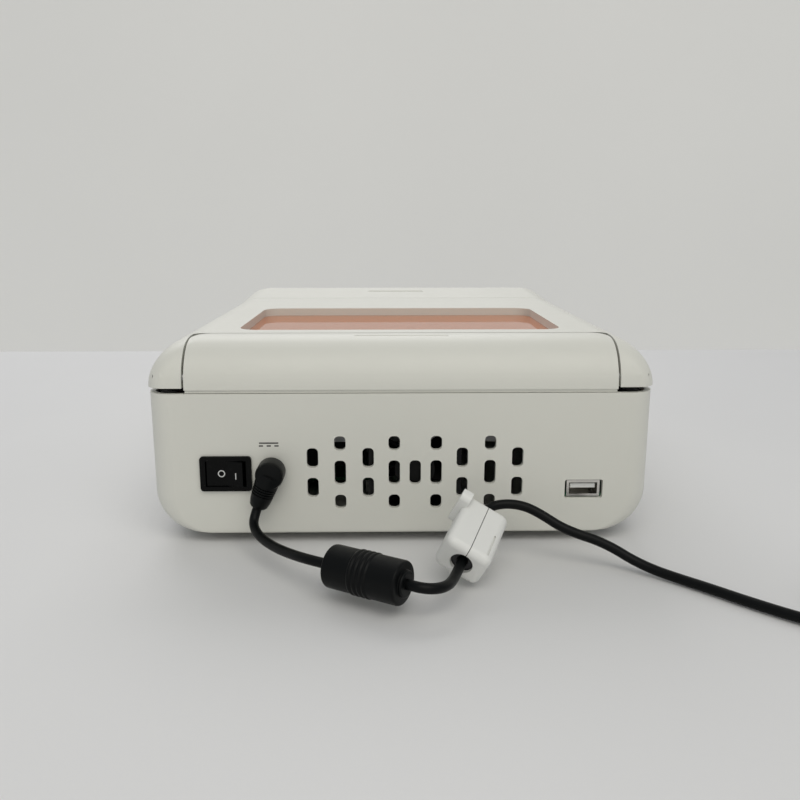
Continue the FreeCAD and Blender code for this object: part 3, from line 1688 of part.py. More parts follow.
def make_clip():
    """A snap-on ferrite: two shells hinged along one edge, each with its half core."""
    length = sized((clip_end - clip_start).Length)
    tall, wide = S.clip_height / 2, S.clip_width / 2
    gap = S.clip_split_gap / 2
    pocket_radius = tall - S.clip_wall
    ferrite_radius = pocket_radius - S.part_clearance
    bore = lead_radius + S.part_clearance
    frame = clip_frame()
    barrel = S.clip_hinge_diameter / 2
    hinge_at = (-(tall + barrel * 0.6), ZERO)
    spans = {"clip_base": ((0.1, 0.36), (0.64, 0.9)), "clip_cover": ((0.37, 0.63),)}
    for sign, shell_node, core_node in ((-1, "clip_base", "clip_core_base"), (1, "clip_cover", "clip_core_cover")):
        tag = shell_node + "_"
        blank = block(tag + "blank", (-tall, tall), (-wide, wide), (ZERO, length))
        soft = rounded(tag + "soft", blank, (lambda b: True, S.clip_round))
        side = (gap, wide * 3) if sign > 0 else (-wide * 3, -gap)
        half_zone = block(tag + "zone", (-tall * 2, tall * 2), side, (-1, length + 1))
        solids = [common(tag + "half", soft, half_zone)]
        cuts = [
            rod(tag + "pocket", "z", (0, 0), pocket_radius, S.clip_wall, length - S.clip_wall),
            rod(tag + "through", "z", (0, 0), bore, -1, length + 1),
            rod(tag + "pin_hole", "z", hinge_at, hole_radius(S.clip_pin_diameter), -1, length + 1),
        ]
        for i, (low, high) in enumerate(spans[shell_node]):
            solids.append(rod(f"{tag}knuckle_{i}", "z", hinge_at, barrel, length * low, length * high))
            web_y = (-barrel, ZERO) if sign < 0 else (ZERO, barrel)
            web = (hinge_at[0], -tall + S.clip_wall)
            solids.append(block(f"{tag}web_{i}", web, web_y, (length * low, length * high)))
        for node, ranges in spans.items():
            if node == shell_node:
                continue
            for i, (low, high) in enumerate(ranges):
                reach = S.part_clearance
                cuts.append(
                    rod(
                        f"{tag}relief_{i}", "z", hinge_at, barrel + reach,
                        length * low - reach, length * high + reach,
                    )
                )
        if sign < 0:
            lug = block(
                tag + "lug_blank",
                (-tall * 0.5, tall + S.clip_lug_rise),
                (-(wide + S.clip_lug_thickness), -(wide - S.clip_wall)),
                (length * 0.72, length * 0.94),
            )
            solids.append(rounded(tag + "lug", lug, (lambda b: b.YLength > 1, S.clip_round)))
        else:
            low = wide - S.clip_latch_width * 4
            cuts.append(
                block(
                    tag + "latch_slot",
                    (tall - S.clip_wall * 0.6, tall + 1),
                    (low, low + S.clip_latch_width),
                    (length * 0.1, length * 0.5),
                )
            )
        body = cut(tag + "body", fuse(tag + "hinged", *solids), *cuts)
        body.Placement = frame
        keep(body, shell_node)
        ring = rod(
            tag + "core_ring", "z", (0, 0), ferrite_radius,
            S.clip_wall + S.part_clearance, length - S.clip_wall - S.part_clearance,
        )
        core_zone = block(tag + "core_zone", (-tall, tall), side, (ZERO, length))
        core_bore = rod(tag + "core_bore", "z", (0, 0), bore, -1, length + 1)
        core = cut(tag + "core", common(tag + "core_half", ring, core_zone), core_bore)
        core.Placement = frame
        keep(core, core_node)
    pin_rod = rod("clip_pin_rod", "z", hinge_at, S.clip_pin_diameter / 2, length * 0.1, length * 0.9)
    pin = group("clip_pin", [pin_rod])
    pin.Placement = frame
    keep(pin, "clip_hinge_pin")
    axis_point = frame.multVec(Vector(hinge_at[0].value, 0, 0))
    axis = frame.Rotation.multVec(AXES["z"])
    print("clip hinge axis", [round(v, 4) for v in axis_point], [round(v, 6) for v in axis])


def make_lead():
    lead_tube("lead_plug_to_core", PLUG_TO_CORE)
    lead_tube("lead_core_to_clip", CORE_TO_CLIP)
    lead_tube("lead_clip_to_coil", CLIP_TO_COIL)
    lead_tube("lead_coil_to_connector", COIL_TO_CONNECTOR)
    inside = doc.addObject("Part::Cylinder", "lead_in_clip_rod")
    bind(inside, "Radius", lead_radius)
    inside.Height = (clip_end - clip_start).Length
    along = clip_end - clip_start
    keep(place(inside, clip_start, FreeCAD.Rotation(AXES["z"], along)), "lead_in_clip")
    half = S.coil_bundle_width / 2
    edge = S.lead_diameter * 0.4
    low, high = S.coil_rest, S.coil_rest + S.coil_bundle_height
    inner, outer = S.coil_radius - half, S.coil_radius + half
    ring = turned(
        "coil_turned",
        [
            (inner + edge, low),
            (outer - edge, low),
            (outer, low + edge),
            (outer, high - edge),
            (outer - edge, high),
            (inner + edge, high),
            (inner, high - edge),
            (inner, low + edge),
        ],
    )
    keep(place(ring, Vector(*COIL_CENTRE, 0), FreeCAD.Rotation()), "lead_coil")
    cx, cy = COIL_CENTRE
    gap = S.tie_thickness
    band = block(
        "tie_outer",
        (cx - S.tie_width / 2, cx + S.tie_width / 2),
        (cy - outer - S.part_clearance - gap, cy - inner + S.part_clearance + gap),
        (low - S.part_clearance - gap, high + S.part_clearance + gap),
    )
    hole = block(
        "tie_inner",
        (cx - S.tie_width, cx + S.tie_width),
        (cy - outer - S.part_clearance, cy - inner + S.part_clearance),
        (low - S.part_clearance, high + S.part_clearance),
    )
    keep(cut("tie_band", band, hole), "coil_tie")


def make_connector():
    """The moulded in-line socket at the far end, where the mains adapter joins."""
    body = S.connector_diameter / 2
    neck = S.lead_diameter * 0.85
    length = S.connector_length
    bore = S.connector_bore / 2
    points = [
        (0, 0),
        (neck, 0),
        (neck + 0.6, length * 0.22),
        (body - 0.8, length * 0.3),
        (body, length * 0.36),
        (body, length - 0.6),
        (body - 0.6, length),
        (bore, length),
        (bore, length * 0.6),
        (0, length * 0.6),
    ]
    socket = turned("connector_turned", points)
    start = Vector(*COIL_TO_CONNECTOR[-1])
    along = start - Vector(*COIL_TO_CONNECTOR[-2])
    along = Vector(along.x, along.y, 0)
    keep(place(socket, start, FreeCAD.Rotation(AXES["z"], along)), "inline_connector")


make_base_shell()
make_feet()
make_case_screws()
make_gel_deck()
make_light_table()
make_contacts()
make_bumpers_and_magnets()
make_lid_frame()
make_window()
make_hinge_cover()
make_console()
make_display()
make_boards()
make_fan()
make_switch()
make_jack()
make_port()
make_plug()
make_moulded_core()
make_clip()
make_lead()
make_connector()
doc.recompute()

faults = [f"{thing.Name}: {thing.State}" for thing in doc.Objects if {"Invalid", "Error"} & set(thing.State)]
for thing in SUBPARTS:
    if thing.Shape.isNull() or not thing.Shape.isValid() or not thing.Shape.Solids:
        faults.append(f"{thing.Label}: no valid solid")
if faults:
    raise RuntimeError("; ".join(faults))

os.makedirs("parts", exist_ok=True)
for thing in SUBPARTS:
    box = thing.Shape.BoundBox
    print(
        f"{thing.Label}: {len(thing.Shape.Solids)} solids, {thing.Shape.Volume:.0f} mm3,"
        f" x {box.XMin:.1f} {box.XMax:.1f} y {box.YMin:.1f} {box.YMax:.1f} z {box.ZMin:.1f} {box.ZMax:.1f}"
    )
    thing.Shape.exportStep(f"parts/{thing.Label}.step")
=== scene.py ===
import math

import bmesh
import bpy
from mathutils import Matrix, Vector


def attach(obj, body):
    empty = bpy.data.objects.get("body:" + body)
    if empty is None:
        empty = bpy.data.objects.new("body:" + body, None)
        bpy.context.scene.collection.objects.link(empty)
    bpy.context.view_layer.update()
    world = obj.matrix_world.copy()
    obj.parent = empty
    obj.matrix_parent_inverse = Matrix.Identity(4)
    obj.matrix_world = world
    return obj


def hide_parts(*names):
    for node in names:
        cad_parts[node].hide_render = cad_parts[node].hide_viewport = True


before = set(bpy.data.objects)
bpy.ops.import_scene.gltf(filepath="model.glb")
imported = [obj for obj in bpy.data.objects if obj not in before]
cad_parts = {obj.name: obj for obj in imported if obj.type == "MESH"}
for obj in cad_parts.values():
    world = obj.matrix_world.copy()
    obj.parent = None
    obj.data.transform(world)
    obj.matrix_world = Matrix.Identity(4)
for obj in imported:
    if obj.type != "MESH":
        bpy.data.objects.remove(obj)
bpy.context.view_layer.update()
scene = bpy.context.scene
scene.view_settings.view_transform = "Standard"
mm = 0.001

# Bench and wall. A lacquered bench top with faint patches and the fine speckle of its coat, and a
# plain painted wall behind it. The wall is seen from its front only, so other views look past it.


def add(tree, kind, values=None, **settings):
    """A shader node whose inputs are set to numbers or joined to the sockets given."""
    made = tree.nodes.new("ShaderNode" + kind)
    for key, value in settings.items():
        setattr(made, key, value)
    for key, value in (values or {}).items():
        if isinstance(value, bpy.types.NodeSocket):
            tree.links.new(value, made.inputs[key])
        else:
            made.inputs[key].default_value = value
    return made


def shade_group(name, inputs, outputs):
    """A shader group with its sockets; gives its tree, its inputs and the node that takes its outputs."""
    tree = bpy.data.node_groups.new(name, "ShaderNodeTree")
    for label, value in inputs.items():
        kind = "NodeSocketColor" if isinstance(value, tuple) else "NodeSocketFloat"
        socket = tree.interface.new_socket(label, in_out="INPUT", socket_type=kind)
        socket.default_value = value
    for label in outputs:
        kind = {"Colour": "NodeSocketColor", "Normal": "NodeSocketVector"}.get(label, "NodeSocketFloat")
        tree.interface.new_socket(label, in_out="OUTPUT", socket_type=kind)
    return tree, tree.nodes.new("NodeGroupInput").outputs, tree.nodes.new("NodeGroupOutput")


painted, given, out = shade_group(
    "painted_surface",
    {"Colour": (0.7, 0.7, 0.7, 1), "Spread": 0.02, "Patch Scale": 3.0},
    ("Colour", "Normal"),
)
spot = add(painted, "TexCoord").outputs["Object"]
patches = add(painted, "TexNoise", {"Vector": spot, "Scale": given["Patch Scale"], "Detail": 4.0})
centred = add(painted, "Math", {0: patches.outputs["Fac"], 1: 0.5}, operation="SUBTRACT")
swing = add(painted, "Math", {0: centred.outputs[0], 1: given["Spread"]}, operation="MULTIPLY")
factor = add(painted, "Math", {0: swing.outputs[0], 1: 4.0, 2: 1.0}, operation="MULTIPLY_ADD")
tinted = add(painted, "VectorMath", {0: given["Colour"], "Scale": factor.outputs[0]}, operation="SCALE")
speckle = add(painted, "TexNoise", {"Vector": spot, "Scale": 900.0, "Detail": 2.0})
relief = add(painted, "Bump", {"Strength": 0.08, "Distance": 0.0004, "Height": speckle.outputs["Fac"]})
painted.links.new(tinted.outputs["Vector"], out.inputs["Colour"])
painted.links.new(relief.outputs["Normal"], out.inputs["Normal"])


def new_material(name, group, **inputs):
    """A material whose Principled shader is fed by a group; the group's inputs are set by name."""
    material = bpy.data.materials.new(name)
    material.use_nodes = True
    tree = material.node_tree
    shader = tree.nodes["Principled BSDF"]
    effect = add(tree, "Group", node_tree=group)
    for label, value in inputs.items():
        effect.inputs[label.replace("_", " ").title()].default_value = value
    for socket in effect.outputs:
        target = {"Colour": "Base Color"}.get(socket.name, socket.name)
        if target in shader.inputs:
            tree.links.new(socket, shader.inputs[target])
    return material, tree, shader


def flat_sheet(name, middle, size, turn, material):
    bm = bmesh.new()
    bmesh.ops.create_grid(bm, x_segments=2, y_segments=2, size=0.5)
    bmesh.ops.scale(bm, vec=(size[0], size[1], 1), verts=bm.verts)
    bmesh.ops.transform(bm, matrix=Matrix.Translation(middle) @ turn, verts=bm.verts)
    mesh = bpy.data.meshes.new(name)
    bm.to_mesh(mesh)
    bm.free()
    mesh.materials.append(material)
    thing = bpy.data.objects.new(name, mesh)
    scene.collection.objects.link(thing)
    return thing


bench_lacquer, _, shader = new_material("bench_lacquer", painted, colour=(0.70, 0.70, 0.70, 1), spread=0.02)
shader.inputs["Roughness"].default_value = 0.6
shader.inputs["Specular IOR Level"].default_value = 0.25
flat_sheet("bench_top", (0, 0, 0), (9, 9), Matrix.Identity(4), bench_lacquer)

wall_paint, tree, shader = new_material("wall_paint", painted, colour=(0.56, 0.56, 0.545, 1), spread=0.03)
shader.inputs["Roughness"].default_value = 0.7
shader.inputs["Emission Color"].default_value = (0.56, 0.56, 0.545, 1)
shader.inputs["Emission Strength"].default_value = 0.34
facing = add(tree, "NewGeometry")
clear = add(tree, "BsdfTransparent")
seen_side = add(
    tree, "MixShader",
    {"Fac": facing.outputs["Backfacing"], 1: shader.outputs["BSDF"], 2: clear.outputs["BSDF"]},
)
tree.links.new(seen_side.outputs["Shader"], tree.nodes["Material Output"].inputs["Surface"])
upright = Matrix.Rotation(math.radians(-90), 4, "X")
wall = flat_sheet("back_wall", (0, -0.39, 0.9), (7, 3), upright, wall_paint)
wall.visible_shadow = False
wall.visible_diffuse = False

# Light and camera. Soft daylight comes over the console's side of the unit, and warmer room light
# from behind the camera fills the rear panel, which stays a little darker than the lid.

world = bpy.data.worlds.new("room_light")
scene.world = world
world.use_nodes = True
world.node_tree.nodes["Background"].inputs["Color"].default_value = (0.93, 0.96, 1.0, 1)
world.node_tree.nodes["Background"].inputs["Strength"].default_value = 0.42


def softbox(name, place, target, size, power, tint):
    data = bpy.data.lights.new(name, "AREA")
    data.shape = "RECTANGLE"
    data.size, data.size_y = size
    data.energy = power
    data.color = tint
    lamp = bpy.data.objects.new(name, data)
    lamp.location = place
    lamp.rotation_mode = "QUATERNION"
    lamp.rotation_quaternion = (Vector(target) - Vector(place)).to_track_quat("-Z", "Y")
    scene.collection.objects.link(lamp)


softbox("window_light", (0.35, -1.5, 1.35), (0, 0, 0.03), (1.8, 1.1), 15.5, (1.0, 0.985, 0.98))
softbox("ceiling_light", (-0.2, 1.1, 1.35), (0, 0.1, 0.04), (1.6, 1.2), 11.0, (1.0, 0.965, 0.88))
softbox("room_fill", (0.2, 1.8, 0.35), (0, 0.1, 0.03), (1.6, 0.7), 1.6, (1.0, 0.93, 0.75))

camera_data = bpy.data.cameras.new("camera")
camera_data.sensor_width = 36
camera_data.lens = 36.09
camera = bpy.data.objects.new("camera", camera_data)
camera.location = (0.0066, 0.4727, 0.1375)
yaw, pitch = math.radians(1.0), math.radians(12.58)
aim = Vector((-math.sin(yaw) * math.cos(pitch), -math.cos(yaw) * math.cos(pitch), -math.sin(pitch)))
camera.rotation_mode = "QUATERNION"
camera.rotation_quaternion = aim.to_track_quat("-Z", "Y")
scene.collection.objects.link(camera)
scene.camera = camera

# Case base. One injection moulding in warm white plastic with a fine spark-eroded texture: an open
# tub with 2.5 mm walls and broad round lower sides, cooling slots and sockets cut in its rear wall,
# and inside it the posts that take the deck, the console and the circuit boards.

case_half = 108 * mm
case_rear = 143 * mm
case_corner = 10.5 * mm
base_low = 4.4 * mm
base_high = 66.7 * mm
wall_thickness = 2.5 * mm
side_round = 18 * mm
end_round = 1.5 * mm
parting_bend = -84 * mm
parting_fall = Vector((0, -30.3, 59))
post_radius, screw_bore, fine_bore = 4 * mm, 1.55 * mm, 1.3 * mm

CORNERS = ((1, 1), (1, -1), (-1, 1), (-1, -1))
AXES = {
    "x": Matrix(((0, 0, 1, 0), (1, 0, 0, 0), (0, 1, 0, 0), (0, 0, 0, 1))),
    "y": Matrix(((1, 0, 0, 0), (0, 0, 1, 0), (0, 1, 0, 0), (0, 0, 0, 1))),
    "z": Matrix.Identity(4),
}


def grown(bm, known, face, axis, low, high, centre=(0, 0)):
    """Draws a flat face out along its normal, then lays the bar along x, y or z from low to high."""
    made = bmesh.ops.extrude_face_region(bm, geom=[face])["geom"]
    drawn = [g for g in made if isinstance(g, bmesh.types.BMVert)]
    bmesh.ops.translate(bm, vec=(0, 0, high - low), verts=drawn)
    laid = AXES[axis] @ Matrix.Translation((centre[0], centre[1], low))
    bmesh.ops.transform(bm, matrix=laid, verts=[v for v in bm.verts if v not in known])


def bar(bm, axis, centre, size, corner, low, high, segments=6):
    """A bar with a round-cornered section; centre and size lie across its axis."""
    known = set(bm.verts)
    flat = bmesh.ops.create_grid(bm, x_segments=1, y_segments=1, size=0.5)["verts"]
    bmesh.ops.scale(bm, vec=(size[0], size[1], 1), verts=flat)
    if corner:
        bmesh.ops.bevel(
            bm, geom=flat, offset=corner, segments=segments, profile=0.5, affect="VERTICES", material=-1
        )
    face = next(v for v in bm.verts if v not in known).link_faces[0]
    grown(bm, known, face, axis, low, high, centre)


def prism(bm, axis, outline, low, high):
    """A bar whose section is an outline of corners across its axis."""
    known = set(bm.verts)
    face = bm.faces.new([bm.verts.new((u, v, 0)) for u, v in outline])
    grown(bm, known, face, axis, low, high)


def rod(bm, axis, centre, radius, low, high, steps=32):
    middle = AXES[axis] @ Matrix.Translation((centre[0], centre[1], (low + high) / 2))
    bmesh.ops.create_cone(
        bm, cap_ends=True, segments=steps, radius1=radius, radius2=radius, depth=high - low, matrix=middle
    )


def new_piece(name, bm):
    bmesh.ops.recalc_face_normals(bm, faces=bm.faces)
    mesh = bpy.data.meshes.new(name)
    bm.to_mesh(mesh)
    bm.free()
    thing = bpy.data.objects.new(name, mesh)
    scene.collection.objects.link(thing)
    return thing


def settled(thing):
    """Applies the modifiers that a piece has so far."""
    graph = bpy.context.evaluated_depsgraph_get()
    mesh = bpy.data.meshes.new_from_object(thing.evaluated_get(graph))
    old, thing.data = thing.data, mesh
    thing.modifiers.clear()
    bpy.data.meshes.remove(old)
    mesh.name = thing.name
    return thing


def carved(thing, operation, *shapes):
    """Adds, cuts away or keeps what each shape covers, one after the other."""
    tools = []
    for shape in shapes:
        tool = shape if isinstance(shape, bpy.types.Object) else new_piece("tool", shape)
        step = thing.modifiers.new("carve", "BOOLEAN")
        step.operation = operation
        step.solver = "EXACT"
        step.object = tool
        tools.append(tool)
    settled(thing)
    for tool in tools:
        bpy.data.objects.remove(tool)
    return thing


def edged(thing, width, segments=2, angle=32):
    """Breaks the sharp edges that a real moulding never has, and shades the curves smoothly."""
    thing.data.shade_smooth()
    thing.data.set_sharp_from_angle(angle=math.radians(angle))
    step = thing.modifiers.new("edge_break", "BEVEL")
    step.width = width
    step.segments = segments
    step.limit_method = "ANGLE"
    step.angle_limit = math.radians(angle)
    step = thing.modifiers.new("even_shading", "WEIGHTED_NORMAL")
    step.keep_sharp = True
    return thing


def dress(thing, material, body, slot, *nodes):
    thing.data.materials.clear()
    thing.data.materials.append(material)
    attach(thing, body)
    if nodes:
        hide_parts(*nodes)
    return thing


skin, given, out = shade_group(
    "moulded_skin",
    {
        "Colour": (0.7, 0.7, 0.7, 1), "Spread": 0.02, "Grain Scale": 1800.0, "Grain Depth": 0.00005,
        "Gloss": 0.45,
    },
    ("Colour", "Roughness", "Normal"),
)
spot = add(skin, "TexCoord").outputs["Object"]
clouds = add(skin, "TexNoise", {"Vector": spot, "Scale": 16.0, "Detail": 3.0})
centred = add(skin, "Math", {0: clouds.outputs["Fac"], 1: 0.5}, operation="SUBTRACT")
swing = add(skin, "Math", {0: centred.outputs[0], 1: given["Spread"]}, operation="MULTIPLY")
factor = add(skin, "Math", {0: swing.outputs[0], 1: 4.0, 2: 1.0}, operation="MULTIPLY_ADD")
tinted = add(skin, "VectorMath", {0: given["Colour"], "Scale": factor.outputs[0]}, operation="SCALE")
handled = add(skin, "TexNoise", {"Vector": spot, "Scale": 70.0, "Detail": 3.0, "Roughness": 0.65})
worn = add(
    skin, "MapRange",
    {"Value": handled.outputs["Fac"], "From Min": 0.3, "From Max": 0.7, "To Min": -0.06, "To Max": 0.06},
)
rough = add(skin, "Math", {0: given["Gloss"], 1: worn.outputs["Result"]}, operation="ADD")
fine = add(skin, "TexNoise", {"Vector": spot, "Scale": given["Grain Scale"], "Detail": 2.0})
coarse_scale = add(skin, "Math", {0: given["Grain Scale"], 1: 0.3}, operation="MULTIPLY")
coarse = add(skin, "TexNoise", {"Vector": spot, "Scale": coarse_scale.outputs[0], "Detail": 2.0})
grain = add(skin, "Math", {0: fine.outputs["Fac"], 1: coarse.outputs["Fac"]}, operation="ADD")
relief = add(skin, "Bump", {"Strength": 0.5, "Distance": given["Grain Depth"], "Height": grain.outputs[0]})
skin.links.new(tinted.outputs["Vector"], out.inputs["Colour"])
skin.links.new(rough.outputs[0], out.inputs["Roughness"])
skin.links.new(relief.outputs["Normal"], out.inputs["Normal"])

case_white, _, shader = new_material(
    "case_white", skin, colour=(0.70, 0.70, 0.645, 1), spread=0.012, grain_scale=2600.0,
    grain_depth=0.00003, gloss=0.42,
)
shader.inputs["Specular IOR Level"].default_value = 0.45

tub = bmesh.new()
flat = bmesh.ops.create_grid(tub, x_segments=1, y_segments=1, size=0.5)["verts"]
floor_size = (2 * (case_half - side_round), 2 * (case_rear - end_round), 1)
bmesh.ops.scale(tub, vec=floor_size, verts=flat)
bmesh.ops.bevel(
    tub, geom=flat, offset=case_corner, segments=8, profile=0.5, affect="VERTICES", material=-1
)
bmesh.ops.translate(tub, vec=(0, 0, base_low), verts=tub.verts)
rim = tub.edges[:]
reach_x = reach_y = 0
turns = [math.radians(90 * step / 10) for step in range(1, 11)]
rings = [(side_round * math.sin(turn), side_round * (1 - math.cos(turn))) for turn in turns]
for out_x, rise in rings + [(side_round, base_high - base_low)]:
    out_y = math.sqrt(end_round**2 - max(0, end_round - rise) ** 2)
    made = bmesh.ops.extrude_edge_only(tub, edges=rim)["geom"]
    rim = [e for e in made if isinstance(e, bmesh.types.BMEdge) and e.is_boundary]
    for corner in (g for g in made if isinstance(g, bmesh.types.BMVert)):
        corner.co.x += math.copysign(out_x - reach_x, corner.co.x)
        corner.co.y += math.copysign(out_y - reach_y, corner.co.y)
        corner.co.z = base_low + rise
    reach_x, reach_y = out_x, out_y
bmesh.ops.bisect_plane(
    tub,
    geom=tub.verts[:] + tub.edges[:] + tub.faces[:],
    plane_co=(0, parting_bend, base_high),
    plane_no=parting_fall,
    clear_outer=True,
)
base_shell = new_piece("case_base", tub)
step = base_shell.modifiers.new("wall", "SOLIDIFY")
step.thickness = wall_thickness
step.offset = -1
step.use_even_offset = True
settled(base_shell)

deck_posts = [(side * 95 * mm, y * mm, 45 * mm, 22 * mm) for y in (108, 20, -36) for side in (1, -1)]
console_posts = [(side * 60 * mm, -127 * mm, 24 * mm, 10 * mm) for side in (1, -1)]
main_board = (0, -80 * mm, 56 * mm, 31 * mm)
power_board = (50 * mm, 56 * mm, 36 * mm, 38 * mm)
post_foot = base_low + 1.2 * mm
posts, wide_holes, holes = bmesh.new(), bmesh.new(), bmesh.new()
for x, y, top, seat in deck_posts + console_posts:
    rod(posts, "z", (x, y), post_radius, post_foot, top)
    rod(wide_holes, "z", (x, y), 3.1 * mm, 0, seat)
    rod(holes, "z", (x, y), screw_bore, 1 * mm, top + 1 * mm, 20)
for x, y, dx, dy in (main_board, power_board):
    for sx, sy in CORNERS:
        rod(posts, "z", (x + sx * dx, y + sy * dy), 3 * mm, post_foot, 13.9 * mm)
        rod(holes, "z", (x + sx * dx, y + sy * dy), fine_bore, 7.9 * mm, 15 * mm, 20)
for sx, sy in CORNERS:
    rod(holes, "z", (sx * 78 * mm, sy * 118 * mm), 2.55 * mm, 0, 8 * mm, 24)

vent_x, vent_z, vent_width, vent_corner = -5.7, 32.0, 4.9, 1.9
cut_from, cut_to = 138 * mm, 144 * mm
threes = ((0, 10.75), (13.05, 6.2), (-13.05, 6.2))
twos = ((6.6, 8.7), (-6.6, 8.7))
columns = [(0, ((0, 10.75),))]
for pitch, slots in ((9.0, threes), (20.2, twos), (32.2, threes), (44.0, twos)):
    columns += [(pitch, slots), (-pitch, slots)]
for x, slots in columns:
    for z, height in slots:
        where = ((vent_x + x) * mm, (vent_z + z) * mm)
        bar(holes, "y", where, (vent_width * mm, height * mm), vent_corner * mm, cut_from, cut_to)
bar(holes, "y", (75.3 * mm, 32 * mm), (19.7 * mm, 14.1 * mm), 1.5 * mm, cut_from, cut_to)
rod(holes, "y", (55.6 * mm, 33.6 * mm), 4.15 * mm, cut_from, cut_to)
bar(holes, "y", (-78.8 * mm, 24.1 * mm), (16.5 * mm, 8.3 * mm), 0.8 * mm, cut_from, cut_to)
carved(base_shell, "UNION", posts)
carved(base_shell, "DIFFERENCE", wide_holes, holes)
edged(base_shell, 0.28 * mm, 3)
dress(base_shell, case_white, "case", "case_white", "base_shell")

# Hinge cover. The fixed white strip between the lid's ears, with a lip that reaches down inside the
# rear wall. It is cut from the same block as the lid, so its rear edge and crown run on from the lid's.

lid_low, lid_high = 68.3 * mm, 89 * mm
lid_side_round, rear_round, lid_corner = 20.2 * mm, 20 * mm, 8 * mm
cover_side, cover_front, cover_corner, seam = 91.4 * mm, 118.6 * mm, 9 * mm, 1 * mm
hinge_y, hinge_z, hinge_barrel, hinge_bore = 138.5 * mm, 73 * mm, 4 * mm, 2.05 * mm
blank_front, blank_low, below_lid, above_lid = 90 * mm, 40 * mm, 20 * mm, 95 * mm
tiny = 0.01 * mm


def top_blank(name, inset, front, low):
    """The block that lid and cover share; its crown is drawn in ring by ring at the sides and the rear."""
    half, rear, top = case_half - inset, case_rear - inset, lid_high - inset
    side, back = lid_side_round - inset, rear_round - inset
    bm = bmesh.new()
    flat = bmesh.ops.create_grid(bm, x_segments=1, y_segments=1, size=0.5)["verts"]
    bmesh.ops.scale(bm, vec=(2 * half, rear - front, 1), verts=flat)
    bmesh.ops.translate(bm, vec=(0, (front + rear) / 2, low), verts=flat)
    corners = [v for v in flat if v.co.y > front + tiny]
    bmesh.ops.bevel(
        bm, geom=corners, offset=lid_corner - inset, segments=10, profile=0.5, affect="VERTICES",
        material=-1,
    )
    rim = bm.edges[:]
    reach_x = reach_y = 0
    for step in range(16):
        turn = math.radians(90 * step / 15)
        out_x, level = side * (1 - math.cos(turn)), top - side + side * math.sin(turn)
        out_y = back - math.sqrt(max(0, back**2 - max(0, level - top + back) ** 2))
        made = bmesh.ops.extrude_edge_only(bm, edges=rim)["geom"]
        rim = [e for e in made if isinstance(e, bmesh.types.BMEdge) and e.is_boundary]
        for corner in (g for g in made if isinstance(g, bmesh.types.BMVert)):
            corner.co.x -= math.copysign(out_x - reach_x, corner.co.x)
            corner.co.z = level
            if corner.co.y > front + tiny:
                corner.co.y -= out_y - reach_y
        reach_x, reach_y = out_x, out_y
    bmesh.ops.contextual_create(bm, geom=rim)
    return new_piece(name, bm)


def cover_plan(margin, low, high):
    """The cover's plan with a margin round it, open to the rear."""
    bm = bmesh.new()
    side, depth = cover_side + margin, 60 * mm
    middle = cover_front - margin + depth / 2
    bar(bm, "z", (0, middle), (2 * side, depth), cover_corner + margin, low, high, 8)
    return bm


hinge_cover = top_blank("cover_moulding", 0, blank_front, blank_low)
carved(hinge_cover, "INTERSECT", cover_plan(0, lid_low, above_lid))
inside = top_blank("inside", wall_thickness, blank_front, blank_low)
carved(inside, "INTERSECT", cover_plan(-wall_thickness, 60 * mm, above_lid))
carved(hinge_cover, "DIFFERENCE", inside)
lip, knuckles, bores, dock = bmesh.new(), bmesh.new(), bmesh.new(), bmesh.new()
outline = [(136.7, 57.7), (139.2, 57.7), (139.2, 66.9), (142.2, 66.9), (142.2, 70.8), (136.7, 70.8)]
prism(lip, "x", [(y * mm, z * mm) for y, z in outline], -91.2 * mm, 91.2 * mm)
for side in (1, -1):
    low, high = sorted((side * 77.4 * mm, side * 90.6 * mm))
    rod(knuckles, "x", (hinge_y, hinge_z), hinge_barrel, low, high)
    low, high = sorted((side * 79.4 * mm, side * 92.4 * mm))
    rod(bores, "x", (hinge_y, hinge_z), hinge_bore, low, high)
bar(dock, "z", (0, 128 * mm), (42 * mm, 6 * mm), 1.8 * mm, 88.7 * mm, 92 * mm)
carved(hinge_cover, "UNION", lip, knuckles)
carved(hinge_cover, "DIFFERENCE", bores, dock)
edged(hinge_cover, 0.35 * mm)
dress(hinge_cover, case_white, "case", "case_white", "hinge_cover")

# Lid. A white moulded frame round the window, hinged on two pins in the ears beside the cover. Its
# seam with the cover is a 1 mm gap whose wall follows the swing, so the lid lifts past the cover. The
# ears end a little above the rest of the lid, which leaves a dark gap under each.

lid_front = -47 * mm
window_y, boss_top = 61.3 * mm, 87.7 * mm
ear_in, ear_out, ear_lift = 92.4 * mm, 104.4 * mm, 0.8 * mm

lid_frame = top_blank("lid_moulding", 0, lid_front, blank_low)
inside = top_blank("inside", wall_thickness, lid_front + wall_thickness, 30 * mm)
carved(inside, "DIFFERENCE", cover_plan(seam + wall_thickness, below_lid, above_lid))
carved(lid_frame, "DIFFERENCE", inside, cover_plan(seam, below_lid, above_lid))
window_rim, bosses, ears = bmesh.new(), bmesh.new(), bmesh.new()
bar(window_rim, "z", (0, window_y), (153 * mm, 96 * mm), 11 * mm, 85 * mm, boss_top, 8)
screw_x, screw_y = 81.3 * mm, 52.8 * mm
lid_screws = [(sx * screw_x, window_y + sy * 33.12 * mm) for sx in (1, -1) for sy in (1, 0, -1)]
lid_screws += [(sx * 37.25 * mm, window_y - screw_y) for sx in (1, -1)]
bores = bmesh.new()
for where in lid_screws:
    rod(bosses, "z", where, 3 * mm, 82 * mm, boss_top, 24)
    rod(bores, "z", where, fine_bore, 81 * mm, 86 * mm, 20)
